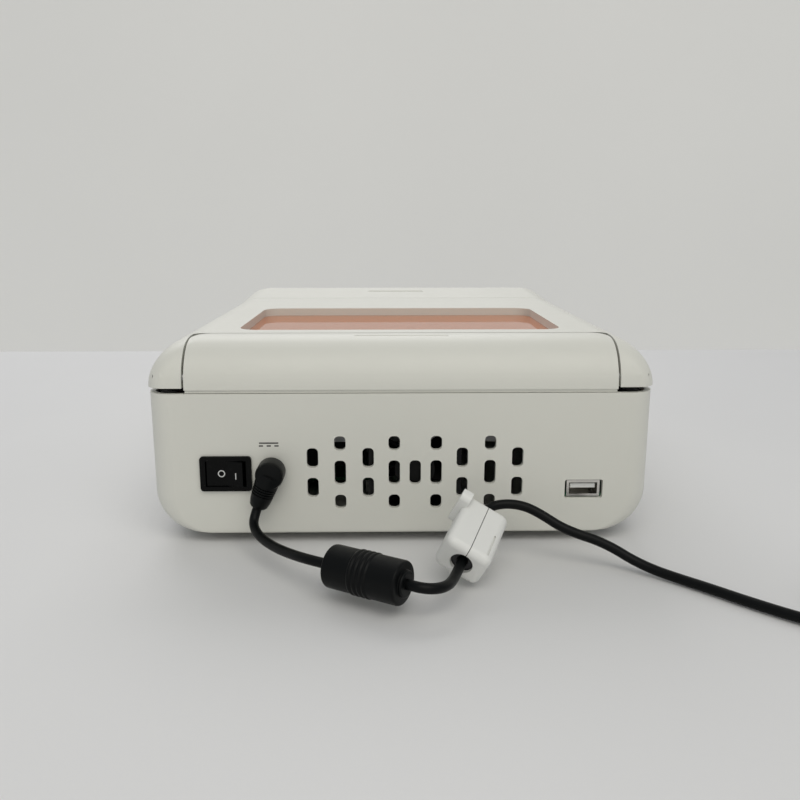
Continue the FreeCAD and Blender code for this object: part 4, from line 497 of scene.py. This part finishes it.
for side in (1, -1):
    magnet_at = (side * 84 * mm, -34 * mm)
    rod(bosses, "z", magnet_at, 6 * mm, 68.6 * mm, boss_top)
    rod(bores, "z", magnet_at, 4.05 * mm, 67 * mm, 70.6 * mm)
    low, high = sorted((side * ear_in, side * (ear_out - 3 * mm)))
    rod(ears, "x", (hinge_y, hinge_z), hinge_barrel, low, high)
    low, high = sorted((side * (ear_in - 1 * mm), side * (ear_out + 0.5 * mm)))
    rod(bores, "x", (hinge_y, hinge_z), hinge_bore, low, high)
carved(lid_frame, "UNION", window_rim, bosses, ears)
opening, below, swing_space, heel, heel_round, ear_gap = (bmesh.new() for _ in range(6))
bar(opening, "z", (0, window_y), (149 * mm, 92 * mm), 9 * mm, below_lid, above_lid, 8)
bar(below, "z", (0, 0), (300 * mm, 400 * mm), 0, 10 * mm, lid_low)
bar(ear_gap, "z", (0, 140 * mm), (300 * mm, 40 * mm), 0, 10 * mm, lid_low + ear_lift)
swing_radius = math.hypot(cover_front - seam - hinge_y, lid_high - hinge_z)
rod(swing_space, "x", (hinge_y, hinge_z), swing_radius, -ear_in, ear_in, 96)
bar(heel, "x", (hinge_y + 10 * mm, hinge_z - 10 * mm), (20 * mm, 20 * mm), 0, -120 * mm, 120 * mm)
rod(heel_round, "x", (hinge_y, hinge_z), 6 * mm, -125 * mm, 125 * mm, 48)
heel = carved(new_piece("heel", heel), "DIFFERENCE", heel_round)
carved(lid_frame, "DIFFERENCE", opening, below, ear_gap, swing_space, heel, bores)
edged(lid_frame, 0.35 * mm)
dress(lid_frame, case_white, "lid", "case_white", "lid_frame")

# Window. A sheet of amber acrylic that stops the blue light, held up under the lid's rim by a black
# liner that is screwed to eight bosses.


def clad(material, *names):
    """Gives CAD nodes that are right as they are their finish."""
    for name in names:
        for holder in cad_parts[name].material_slots:
            holder.material = material


handled_glass, given, out = shade_group(
    "handled_glass", {"Gloss": 0.03, "Smear": 0.06}, ("Roughness", "Normal")
)
spot = add(handled_glass, "TexCoord").outputs["Object"]
prints = add(handled_glass, "TexNoise", {"Vector": spot, "Scale": 38.0, "Detail": 5.0, "Roughness": 0.7})
mask = add(handled_glass, "MapRange", {"Value": prints.outputs["Fac"], "From Min": 0.5, "From Max": 0.75})
rough = add(
    handled_glass, "Math", {0: mask.outputs["Result"], 1: given["Smear"], 2: given["Gloss"]},
    operation="MULTIPLY_ADD",
)
ripple = add(handled_glass, "TexNoise", {"Vector": spot, "Scale": 30.0, "Detail": 1.0})
relief = add(handled_glass, "Bump", {"Strength": 0.1, "Distance": 0.0002, "Height": ripple.outputs["Fac"]})
handled_glass.links.new(rough.outputs[0], out.inputs["Roughness"])
handled_glass.links.new(relief.outputs["Normal"], out.inputs["Normal"])

amber_acrylic, _, shader = new_material("amber_acrylic", handled_glass, gloss=0.03, smear=0.05)
shader.inputs["Base Color"].default_value = (0.76, 0.24, 0.07, 1)
shader.inputs["Transmission Weight"].default_value = 0.35
shader.inputs["IOR"].default_value = 1.49
clad(amber_acrylic, "amber_window")

black_plastic, _, shader = new_material(
    "black_plastic", skin, colour=(0.005, 0.005, 0.0055, 1), spread=0.06, grain_scale=1500.0,
    grain_depth=0.00006, gloss=0.5,
)
shader.inputs["Specular IOR Level"].default_value = 0.2
clad(black_plastic, "lid_liner")

# Console. The white moulding that closes the front of the case: a low crest behind a sloped face
# with a pocket for the touch glass, flanks rounded like the lid's, and a locating slot on its top.

console_rear = -48 * mm
console_edge = lid_side_round
console_corner = 13 * mm
crest = (-108 * mm, 92.3 * mm)
toe = (-143 * mm, 46 * mm)
slope_turn = math.atan2(crest[1] - toe[1], crest[0] - toe[0])
top_turn = math.atan2(crest[1] - lid_high, console_rear - crest[0])
crest_reach = 24 * mm * math.tan((slope_turn + top_turn) / 2)
toe_reach = 18 * mm * math.tan((math.pi / 2 - slope_turn) / 2)

bm = bmesh.new()
outline = [(console_rear, base_low), (console_rear, lid_high), crest, toe, (toe[0], base_low)]
prism(bm, "x", outline, -case_half, case_half)
weight = bm.edges.layers.float.new("bevel_weight_edge")
for edge in bm.edges:
    first, second = (v.co for v in edge.verts)
    middle = (first + second) / 2
    across = abs(first.x - second.x) > tiny
    vertical = abs(first.x - second.x) < tiny and abs(first.y - second.y) < tiny
    if across and abs(middle.y - crest[0]) < tiny:
        edge[weight] = crest_reach / console_edge
    elif across and abs(middle.y - toe[0]) < tiny and abs(middle.z - toe[1]) < tiny:
        edge[weight] = toe_reach / console_edge
    elif vertical and middle.z > base_low + tiny and middle.y < console_rear - tiny:
        edge[weight] = console_corner / console_edge
    elif not across and middle.z > base_low + tiny and min(first.y, second.y) < console_rear - tiny:
        edge[weight] = 1
console_shell = new_piece("console_moulding", bm)
step = console_shell.modifiers.new("crest", "BEVEL")
step.width = console_edge
step.segments = 12
step.limit_method = "WEIGHT"
settled(console_shell)
bm = bmesh.new()
bm.from_mesh(console_shell.data)
underside = [f for f in bm.faces if all(v.co.z < base_low + tiny for v in f.verts)]
bmesh.ops.delete(bm, geom=underside, context="FACES")
bm.to_mesh(console_shell.data)
bm.free()
step = console_shell.modifiers.new("wall", "SOLIDIFY")
step.thickness = wall_thickness
step.offset = -1
step.use_even_offset = True
settled(console_shell)

slope_frame = Matrix.Translation((0, -126.2 * mm, 68.22 * mm)) @ Matrix.Rotation(slope_turn, 4, "X")
parting_line, pocket, dock, posts, bores = (bmesh.new() for _ in range(5))
fall = (66.7 - 36.4) / 59
outline = [(0, 68.3), (-84, 68.3), (-160, 68.3 - 76 * fall), (-160, -10), (0, -10)]
prism(parting_line, "x", [(y * mm, z * mm) for y, z in outline], -120 * mm, 120 * mm)
bar(pocket, "z", (0, 0), (92.6 * mm, 36.6 * mm), 3 * mm, -7.5 * mm, 3 * mm)
bmesh.ops.transform(pocket, matrix=slope_frame, verts=pocket.verts)
bar(dock, "z", (0, -78 * mm), (37 * mm, 6 * mm), 1.8 * mm, 90.35 * mm, 94 * mm)
for x, y, foot, _ in console_posts:
    rod(posts, "z", (x, y), post_radius, foot, 57.5 * mm)
    rod(bores, "z", (x, y), screw_bore, 22 * mm, 31 * mm, 20)
carved(console_shell, "DIFFERENCE", parting_line)
carved(console_shell, "UNION", posts)
carved(console_shell, "DIFFERENCE", pocket, dock, bores)
edged(console_shell, 0.35 * mm)
dress(console_shell, case_white, "case", "case_white", "console_shell")

# Display. A capacitive touch glass flush with the slope, black to its edge, and the panel under it.

dark_glass, _, shader = new_material("dark_glass", handled_glass, gloss=0.05, smear=0.12)
shader.inputs["Base Color"].default_value = (0.006, 0.007, 0.009, 1)
shader.inputs["Coat Weight"].default_value = 0.4
clad(dark_glass, "touch_glass", "lcd_panel")

clad(black_plastic, "display_carrier")

# Feet, bumpers, screws and magnets. Rubber feet and bumpers pushed into their holes, zinc-plated
# screws and hinge pins, and the nickel-plated magnets that hold the lid shut.

black_rubber, _, shader = new_material(
    "black_rubber", skin, colour=(0.02, 0.02, 0.021, 1), spread=0.1, grain_scale=900.0, grain_depth=0.0001,
    gloss=0.78,
)
shader.inputs["Specular IOR Level"].default_value = 0.3
clad(black_rubber, "rubber_feet", "lid_bumpers")

worked_metal, given, out = shade_group(
    "worked_metal",
    {"Colour": (0.6, 0.6, 0.6, 1), "Gloss": 0.3, "Line Scale": 700.0, "Line Depth": 0.00002},
    ("Colour", "Roughness", "Normal"),
)
spot = add(worked_metal, "TexCoord").outputs["Object"]
drawn = add(worked_metal, "Mapping", {"Vector": spot, "Scale": (1, 1, 0.08)}).outputs["Vector"]
lines = add(worked_metal, "TexNoise", {"Vector": drawn, "Scale": given["Line Scale"], "Detail": 2.0})
dull = add(worked_metal, "TexNoise", {"Vector": spot, "Scale": 60.0, "Detail": 4.0})
worn = add(
    worked_metal, "MapRange",
    {"Value": dull.outputs["Fac"], "From Min": 0.3, "From Max": 0.7, "To Min": -0.07, "To Max": 0.1},
)
rough = add(worked_metal, "Math", {0: given["Gloss"], 1: worn.outputs["Result"]}, operation="ADD")
shade = add(
    worked_metal, "MapRange",
    {"Value": dull.outputs["Fac"], "From Min": 0.3, "From Max": 0.7, "To Min": 0.9, "To Max": 1.06},
)
tinted = add(
    worked_metal, "VectorMath", {0: given["Colour"], "Scale": shade.outputs["Result"]}, operation="SCALE"
)
relief = add(
    worked_metal, "Bump", {"Strength": 0.5, "Distance": given["Line Depth"], "Height": lines.outputs["Fac"]}
)
worked_metal.links.new(tinted.outputs["Vector"], out.inputs["Colour"])
worked_metal.links.new(rough.outputs[0], out.inputs["Roughness"])
worked_metal.links.new(relief.outputs["Normal"], out.inputs["Normal"])

zinc_steel, _, shader = new_material("zinc_steel", worked_metal, colour=(0.55, 0.56, 0.57, 1), gloss=0.32)
shader.inputs["Metallic"].default_value = 1
clad(zinc_steel, "case_screws", "tray_screws", "board_screws", "lid_screws")
clad(zinc_steel, "hinge_pin_left", "hinge_pin_right")

plated_nickel, _, shader = new_material(
    "plated_nickel", worked_metal, colour=(0.72, 0.70, 0.66, 1), gloss=0.2
)
shader.inputs["Metallic"].default_value = 1
clad(plated_nickel, "catch_magnets", "lid_magnets")

# Gel deck and light table. A matt black deck with the cassette's bay and two sprung contacts, and
# under it blue filter glass in its frame, an opal diffuser and an aluminium tray of small lamps.

clad(black_plastic, "gel_deck", "filter_frame")
clad(plated_nickel, "contact_strip_left", "contact_strip_right")

blue_glass, _, shader = new_material("blue_glass", handled_glass, gloss=0.02, smear=0.06)
shader.inputs["Base Color"].default_value = (0.03, 0.10, 0.46, 1)
shader.inputs["Transmission Weight"].default_value = 0.85
shader.inputs["IOR"].default_value = 1.52
clad(blue_glass, "blue_filter_glass")

opal_plastic, _, shader = new_material(
    "opal_plastic", skin, colour=(0.80, 0.81, 0.80, 1), spread=0.01, grain_scale=1200.0,
    grain_depth=0.00002, gloss=0.35,
)
shader.inputs["Transmission Weight"].default_value = 0.25
shader.inputs["IOR"].default_value = 1.49
clad(opal_plastic, "diffuser_sheet")

bare_aluminium, _, shader = new_material(
    "bare_aluminium", worked_metal, colour=(0.76, 0.77, 0.78, 1), gloss=0.42, line_scale=500.0,
    line_depth=0.00004,
)
shader.inputs["Metallic"].default_value = 1
clad(bare_aluminium, "led_tray")

# Circuit boards. Green glass-epoxy boards with fine tracks, on posts in the base and behind the data
# port, and the white board of the light table; what stands on them is dark or pale block by block.

populated_board, given, out = shade_group(
    "populated_board",
    {"Mask Colour": (0.02, 0.14, 0.06, 1), "Part Colour": (0.05, 0.05, 0.05, 1), "Board Top": 0.0156},
    ("Colour", "Roughness", "Normal"),
)
spot = add(populated_board, "TexCoord").outputs["Object"]
height = add(populated_board, "SeparateXYZ", {"Vector": spot}).outputs["Z"]
above = add(
    populated_board, "Math", {0: height, 1: given["Board Top"]}, operation="GREATER_THAN"
).outputs[0]
tracks = add(
    populated_board, "TexBrick",
    {
        "Vector": spot, "Scale": 140.0, "Mortar Size": 0.03, "Mortar Smooth": 0.2, "Brick Width": 0.7,
        "Row Height": 0.2,
    },
)
lighter = add(
    populated_board, "Math", {0: tracks.outputs["Fac"], 1: 0.9, 2: 0.85}, operation="MULTIPLY_ADD"
)
mask = add(
    populated_board, "VectorMath", {0: given["Mask Colour"], "Scale": lighter.outputs[0]}, operation="SCALE"
).outputs["Vector"]
cells = add(populated_board, "TexVoronoi", {"Vector": spot, "Scale": 80.0})
shade = add(
    populated_board, "VectorMath", {0: cells.outputs["Color"], 1: (0.5, 0.4, 0.5)}, operation="DOT_PRODUCT"
).outputs["Value"]
parts = add(
    populated_board, "VectorMath", {0: given["Part Colour"], "Scale": shade}, operation="SCALE"
).outputs["Vector"]
change = add(populated_board, "VectorMath", {0: parts, 1: mask}, operation="SUBTRACT").outputs["Vector"]
colour = add(populated_board, "VectorMath", {0: change, 1: above, 2: mask}, operation="MULTIPLY_ADD")
rough = add(populated_board, "MapRange", {"Value": above, "To Min": 0.3, "To Max": 0.55})
relief = add(
    populated_board, "Bump", {"Strength": 0.6, "Distance": 0.00004, "Height": tracks.outputs["Fac"]}
)
populated_board.links.new(colour.outputs["Vector"], out.inputs["Colour"])
populated_board.links.new(rough.outputs["Result"], out.inputs["Roughness"])
populated_board.links.new(relief.outputs["Normal"], out.inputs["Normal"])

green_board, _, _ = new_material("green_board", populated_board, board_top=0.0156)
clad(green_board, "main_board", "power_board")
port_board, _, _ = new_material("port_board", populated_board, board_top=0.03)
clad(port_board, "usb_board")
lamp_board, _, _ = new_material(
    "lamp_board", populated_board, mask_colour=(0.78, 0.80, 0.78, 1), part_colour=(0.95, 0.85, 0.35, 1),
    board_top=0.0417,
)
clad(lamp_board, "led_board")

# Fan. A 40 mm frame and its seven-bladed rotor, both moulded in black, held behind the vents.

clad(black_plastic, "fan_frame", "fan_rotor")

# Power switch. A glossy black rocker in a snapped-in bezel, with the two usual marks printed in pale
# ink: a ring for off and a bar for on.

switch_black, _, shader = new_material(
    "switch_black", skin, colour=(0.001, 0.0012, 0.0012, 1), spread=0.05, grain_scale=2200.0,
    grain_depth=0.00001, gloss=0.3,
)
shader.inputs["Specular IOR Level"].default_value = 0.12
clad(switch_black, "switch_body", "rocker_paddle")

pale_ink, _, _ = new_material(
    "pale_ink", skin, colour=(0.60, 0.61, 0.60, 1), spread=0.03, grain_scale=4000.0, grain_depth=0.00001,
    gloss=0.5,
)


def turned(bm, outline, foot=(0, 0, 0), along=(0, 0, 1), steps=48, closed=False):
    """Spins an outline of radius and level pairs, in mm, about a line from its foot."""
    known = set(bm.verts)
    points = [bm.verts.new((radius * mm, 0, level * mm)) for radius, level in outline]
    pairs = list(zip(points, points[1:]))
    if closed:
        pairs.append((points[-1], points[0]))
    edges = [bm.edges.new(pair) for pair in pairs]
    bmesh.ops.spin(
        bm, geom=points + edges, cent=(0, 0, 0), axis=(0, 0, 1), angle=2 * math.pi, steps=steps,
        use_merge=True,
    )
    bmesh.ops.remove_doubles(bm, verts=[v for v in bm.verts if v not in known], dist=tiny / 10)
    stood = Matrix.Translation(foot) @ Vector(along).to_track_quat("Z", "Y").to_matrix().to_4x4()
    bmesh.ops.transform(bm, matrix=stood, verts=[v for v in bm.verts if v not in known])


paddle_pivot = Matrix.Translation((75.3 * mm, 142 * mm, 32 * mm))
paddle_frame = paddle_pivot @ Matrix.Rotation(math.radians(-8), 4, "Z")
facing_out = Matrix.Rotation(math.radians(-90), 4, "X")
valley, paddle_rise = 1.4, math.atan2(1.2, 7.9)
off_mark, on_mark = bmesh.new(), bmesh.new()
turned(off_mark, [(1.1, 0), (1.55, 0), (1.55, 0.05), (1.1, 0.05)], closed=True)
bar(on_mark, "z", (0, 0.8 * mm), (0.45 * mm, 2.8 * mm), 0.08 * mm, 0, 0.05 * mm)
for name, mark, x in (("off_mark", off_mark, 1.7), ("on_mark", on_mark, -4.7)):
    on_face = Matrix.Translation((x * mm, (valley + abs(x) * math.tan(paddle_rise)) * mm, 0))
    lean = Matrix.Rotation(math.copysign(paddle_rise, x), 4, "Z") @ facing_out
    bmesh.ops.transform(mark, matrix=paddle_frame @ on_face @ lean, verts=mark.verts)
    dress(new_piece(name, mark), pale_ink, "rocker", "clip_white")

# Power socket. A black round socket with its flange on the panel, and over it the printed sign for
# direct current, a line above three dashes.

clad(black_plastic, "dc_jack")
black_ink, _, _ = new_material(
    "black_ink", skin, colour=(0.03, 0.03, 0.03, 1), spread=0.05, grain_scale=4000.0, grain_depth=0.00001,
    gloss=0.5,
)
sign = bmesh.new()
ink_low, ink_high = 142.95 * mm, 143.03 * mm
line_width, line_corner = 0.6 * mm, 0.08 * mm
bar(sign, "y", (56.7 * mm, 45.35 * mm), (8.2 * mm, line_width), line_corner, ink_low, ink_high)
for step in (-1, 0, 1):
    dash = ((56.7 + 3.3 * step) * mm, 44.1 * mm)
    bar(sign, "y", dash, (1.8 * mm, line_width), line_corner, ink_low, ink_high)
dress(new_piece("direct_current_sign", sign), black_ink, "case", "black_plastic")

# Data port. A pressed and nickel-plated shell with a flared mouth, and the pale tongue that carries
# its contacts in the upper half.

clip_white, _, _ = new_material(
    "clip_white", skin, colour=(0.78, 0.785, 0.76, 1), spread=0.012, grain_scale=2200.0,
    grain_depth=0.00002, gloss=0.4,
)
clad(plated_nickel, "usb_port_shell")
clad(clip_white, "usb_port_tongue")

# Plug. A right-angled low-voltage plug moulded in soft black plastic, round over the socket, with a
# tapered and ribbed sleeve that points down along the panel, and its nickel-plated barrel.

lead_black, _, shader = new_material(
    "lead_black", skin, colour=(0.002, 0.0026, 0.0028, 1), spread=0.08, grain_scale=1600.0,
    grain_depth=0.00002, gloss=0.38,
)
shader.inputs["Specular IOR Level"].default_value = 0.14
head, sleeve = bmesh.new(), bmesh.new()
socket_front = Vector((55.6, 144.1, 33.6)) * mm
outline = [(0, 0), (5.2, 0), (6, 0.8), (6, 7.7), (5.5, 9.0), (4.2, 9.5), (0, 9.5)]
turned(head, outline, socket_front, (0, 1, 0), 64)
outline = [(0, 0), (5.1, 0), (5.1, 5.3)]
for rib in range(4):
    radius, level = 5.05 - 0.1 * rib, 5.5 + 1.15 * rib
    groove = radius - 0.5
    outline += [(radius, level), (groove, level + 0.2), (groove, level + 0.5), (radius, level + 0.7)]
outline += [(4.65, 10.3), (4.4, 12.5), (3.9, 14.6), (3.3, 15.4), (0, 15.4)]
sleeve_foot = Vector((55.6, 149.3, 33.6)) * mm
lead_exit = Vector((61.2, 149.3, 19.3)) * mm
turned(sleeve, outline, sleeve_foot, lead_exit - sleeve_foot, 64)
plug = carved(new_piece("plug", head), "UNION", sleeve)
edged(plug, 0.3 * mm, 3)
dress(plug, lead_black, "case", "lead_black", "dc_plug")
clad(plated_nickel, "dc_plug_barrel")

# Moulded core. A ferrite sleeve moulded over in the lead's own black plastic, with a stepped collar
# at each end and four fine ribs round its middle.

core_start, core_end = Vector((30.6, 191.8, 12.2)) * mm, Vector((-1.8, 211.2, 12.2)) * mm
core_line = (core_end - core_start).normalized()
core_start, core_end = core_start + core_line * 2.7 * mm, core_end - core_line * 1.3 * mm
core_long = (core_end - core_start).length / mm
half_outline = [(0, 0), (4.6, 0), (5.0, 0.4), (5.0, 1.4), (7.3, 1.4), (8.0, 1.8), (8.2, 2.6)]
outline = half_outline[:]
rib_outline = ((8.2, 0), (8.5, 0.25), (8.55, 0.7), (8.5, 1.15), (8.2, 1.4))
for rib in range(4):
    level = core_long / 2 + 2.1 * (rib - 1.9)
    outline += [(radius, level + rise) for radius, rise in rib_outline]
outline += [(radius, core_long - level) for radius, level in reversed(half_outline)]
core = bmesh.new()
turned(core, outline, core_start, core_end - core_start, 72)
moulded_core = edged(new_piece("moulded_core", core), 0.25 * mm, 2, 40)
dress(moulded_core, lead_black, "case", "lead_black", "moulded_ferrite")

# Clip-on core. Two white shells that snap together round the lead on a side hinge, each with half a
# fired ferrite ring in it. One has a round grip lug, the other the slot of its latch.

clip_start, clip_end = Vector((-21.3, 191.8, 11.6)) * mm, Vector((-32.0, 166.3, 20.2)) * mm
clip_long = (clip_end - clip_start).length
clip_tall, clip_wide, clip_round, clip_gap = 15.8 * mm, 19 * mm, 3.2 * mm, 0.15 * mm
knuckle_radius, knuckle_at, knuckle_play = 1.9 * mm, (-9.04 * mm, 0), 0.15 * mm
pocket_radius, mouth_radius, end_wall, beyond = 6.3 * mm, 4.5 * mm, 1.6 * mm, 1 * mm
along = (clip_end - clip_start).normalized()
level = Vector((0, 0, 1)).cross(along).normalized()
roll = math.radians(119.5)
across = level * math.cos(roll) + along.cross(level) * math.sin(roll)
clip_turn = Matrix((across, along.cross(across), along)).transposed().to_4x4()
clip_frame = Matrix.Translation(clip_start) @ clip_turn
knuckles = {"clip_base": ((0.1, 0.36), (0.64, 0.9)), "clip_cover": ((0.37, 0.63),)}


def shape(maker, *measures):
    bm = bmesh.new()
    maker(bm, *measures)
    return bm


def clip_half(name, node, side):
    shell, added, taken = bmesh.new(), [], []
    bmesh.ops.create_cube(shell, size=1)
    bmesh.ops.scale(shell, vec=(clip_tall, clip_wide, clip_long), verts=shell.verts)
    bmesh.ops.bevel(
        shell, geom=shell.edges[:], offset=clip_round, segments=8, profile=0.5, affect="EDGES", material=-1
    )
    bmesh.ops.translate(shell, vec=(0, 0, clip_long / 2), verts=shell.verts)
    middle = side * (clip_gap + clip_wide / 2)
    zone = shape(bar, "z", (0, middle), (clip_tall * 2, clip_wide), 0, -clip_wide, clip_wide * 3)
    for owner, spans in knuckles.items():
        for low, high in spans:
            low, high = low * clip_long, high * clip_long
            if owner == node:
                web = (knuckle_at[0] + 1.4 * mm, side * knuckle_radius / 2)
                added.append(shape(rod, "z", knuckle_at, knuckle_radius, low, high, 40))
                added.append(shape(bar, "z", web, (2.7 * mm, knuckle_radius), 0, low, high))
            else:
                low, high = low - knuckle_play, high + knuckle_play
                taken.append(shape(rod, "z", knuckle_at, knuckle_radius + knuckle_play, low, high, 40))
    taken.append(shape(rod, "z", (0, 0), pocket_radius, end_wall, clip_long - end_wall, 64))
    taken.append(shape(rod, "z", (0, 0), mouth_radius, -beyond, clip_long + beyond, 64))
    taken.append(shape(rod, "z", knuckle_at, 0.95 * mm, -beyond, clip_long + beyond, 24))
    if side > 0:
        latch = (8.2 * mm, 6.7 * mm)
        taken.append(shape(bar, "z", latch, (2.5 * mm, 0.8 * mm), 0, clip_long * 0.1, clip_long * 0.5))
    else:
        lug, lug_size = (3.8 * mm, clip_long * 0.83), (15.4 * mm, clip_long * 0.22)
        added.append(shape(bar, "y", lug, lug_size, 2.6 * mm, -12.1 * mm, -7.9 * mm, 10))
    half = carved(new_piece(name, shell), "INTERSECT", zone)
    carved(half, "UNION", *added)
    carved(half, "DIFFERENCE", *taken)
    half.data.transform(clip_frame)
    return edged(half, 0.3 * mm, 3)


clip_base = clip_half("fixed_clip_shell", "clip_base", -1)
clip_cover = clip_half("hinged_clip_shell", "clip_cover", 1)
dress(clip_base, clip_white, "case", "clip_white", "clip_base")
dress(clip_cover, clip_white, "clip_lid", "clip_white", "clip_cover")
clad(zinc_steel, "clip_hinge_pin")
fired_ferrite, _, _ = new_material(
    "fired_ferrite", skin, colour=(0.03, 0.03, 0.032, 1), spread=0.1, grain_scale=1400.0,
    grain_depth=0.00008, gloss=0.62,
)
clad(fired_ferrite, "clip_core_base", "clip_core_cover")

# Lead. A 4 mm round low-voltage lead with a smooth black jacket, from the plug through both cores
# and away over the bench; the rest is wound into a small coil on the bench, two layers deep.

coil_middle = Vector((-177.4, 219.3))
turn_radii = (26.5, 22.4, 18.3, 18.3, 22.4, 26.5)
low_turn, high_turn, points_per_turn, first_angle, turns_wound = 2.95, 6.95, 24, 0.85, 5.365


def eased(value, low, high):
    """Goes smoothly from 0 at low to 1 at high."""
    share = min(1, max(0, (value - low) / (high - low)))
    return share * share * (3 - 2 * share)


coil_points = []
for step in range(int(turns_wound * points_per_turn) + 1):
    wound = step / points_per_turn
    turn = int(wound)
    share = wound - turn
    shift = eased(share, 0.75, 0.9) if turn < 3 else eased(share, 0.45, 0.6)
    next_radius = turn_radii[min(turn + 1, len(turn_radii) - 1)]
    radius = turn_radii[turn] + (next_radius - turn_radii[turn]) * shift
    climb = eased(wound, 2.6, 2.75)
    angle = first_angle + 2 * math.pi * wound
    coil_points.append((
        coil_middle.x + radius * math.cos(angle),
        coil_middle.y + radius * math.sin(angle),
        low_turn + (high_turn - low_turn) * climb,
    ))
lead_points = [
    (61.2, 149.3, 19.3), (62.7, 150.6, 15.5), (62.6, 154.5, 12.2), (59.0, 161.5, 10.4),
    (52.4, 170.3, 10.0), (45.8, 178.5, 10.8), (38.3, 187.2, 12.2), (30.6, 191.8, 12.2),
    (-1.8, 211.2, 12.2), (-5.6, 213.5, 12.2), (-10.2, 213.0, 11.6), (-14.2, 209.6, 10.8),
    (-16.8, 204.2, 10.0), (-18.9, 197.8, 10.0), (-21.3, 191.8, 11.6), (-32.0, 166.3, 20.2),
    (-34.1, 161.6, 21.8), (-38.6, 159.0, 22.9), (-44.8, 158.8, 23.3), (-51.3, 160.0, 22.3),
    (-57.8, 162.0, 19.2), (-64.0, 164.8, 15.6), (-70.8, 167.4, 13.3), (-78.0, 169.8, 11.6),
    (-84.8, 172.3, 8.9), (-91.2, 175.4, 5.5), (-98.2, 179.8, 3.2), (-106.0, 186.4, 2.4),
    (-114.6, 195.0, 2.4), (-124.6, 206.2, 2.4), (-137.0, 218.4, 2.4), (-150.4, 229.0, 2.6),
]
lead_points += coil_points
lead_points += [(-204.3, 210.0, 6.6), (-202.5, 202.5, 5.6), (-200.3, 196.5, 5.2), (-198.9, 190.0, 5.7)]
lead_line = bpy.data.curves.new("lead", "CURVE")
lead_line.dimensions = "3D"
lead_line.bevel_depth = 2 * mm
lead_line.bevel_resolution = 5
lead_line.resolution_u = lead_line.render_resolution_u = 8
run = lead_line.splines.new("NURBS")
run.points.add(len(lead_points) - 1)
for control, place in zip(run.points, lead_points):
    control.co = (place[0] * mm, place[1] * mm, place[2] * mm, 1)
run.order_u = 3
run.use_endpoint_u = True
lead = bpy.data.objects.new("lead", lead_line)
scene.collection.objects.link(lead)
dress(
    lead, lead_black, "case", "lead_black", "lead_plug_to_core", "lead_core_to_clip", "lead_in_clip",
    "lead_clip_to_coil", "lead_coil", "lead_coil_to_connector",
)

# Coil tie. A band of woven hook-and-loop tape round the coil, black like the lead.

woven_tape, _, _ = new_material(
    "woven_tape", skin, colour=(0.016, 0.016, 0.017, 1), spread=0.15, grain_scale=1100.0,
    grain_depth=0.0003, gloss=0.9,
)
tie, tie_inside = bmesh.new(), bmesh.new()
tie_middle = (196.8 * mm, 5 * mm)
bar(tie, "x", tie_middle, (13.8 * mm, 9.8 * mm), 2.4 * mm, -180.4 * mm, -174.4 * mm)
bar(tie_inside, "x", tie_middle, (12.6 * mm, 8.6 * mm), 1.8 * mm, -190 * mm, -165 * mm)
coil_tie = carved(new_piece("tie_band", tie), "DIFFERENCE", tie_inside)
edged(coil_tie, 0.15 * mm)
dress(coil_tie, woven_tape, "case", "lead_black", "coil_tie")

# Connector. The lead ends in a moulded in-line socket where its mains adapter plugs in, with a
# grooved neck as its strain relief.

connector_start = Vector((-198.9, 190.0, 5.7)) * mm
outline = [
    (0, 0), (3.3, 0), (3.4, 1.6), (2.9, 1.9), (2.95, 2.7), (3.55, 3.0), (3.7, 4.8),
    (3.1, 5.1), (3.15, 5.9), (3.85, 6.2), (4.0, 7.92), (4.7, 10.8), (5.5, 12.96), (5.5, 35.4),
    (4.9, 36), (2.8, 36), (2.8, 21.6), (0, 21.6),
]
end_piece = bmesh.new()
turned(end_piece, outline, connector_start, (0.8, -6, 0), 56)
connector = edged(new_piece("connector", end_piece), 0.25 * mm, 2, 40)
dress(connector, lead_black, "case", "lead_black", "inline_connector")

on_the_lead = [plug, moulded_core, clip_base, clip_cover, coil_tie, connector]
small_parts = ("dc_plug_barrel", "clip_core_base", "clip_core_cover", "clip_hinge_pin")
on_the_lead += [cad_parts[name] for name in small_parts]
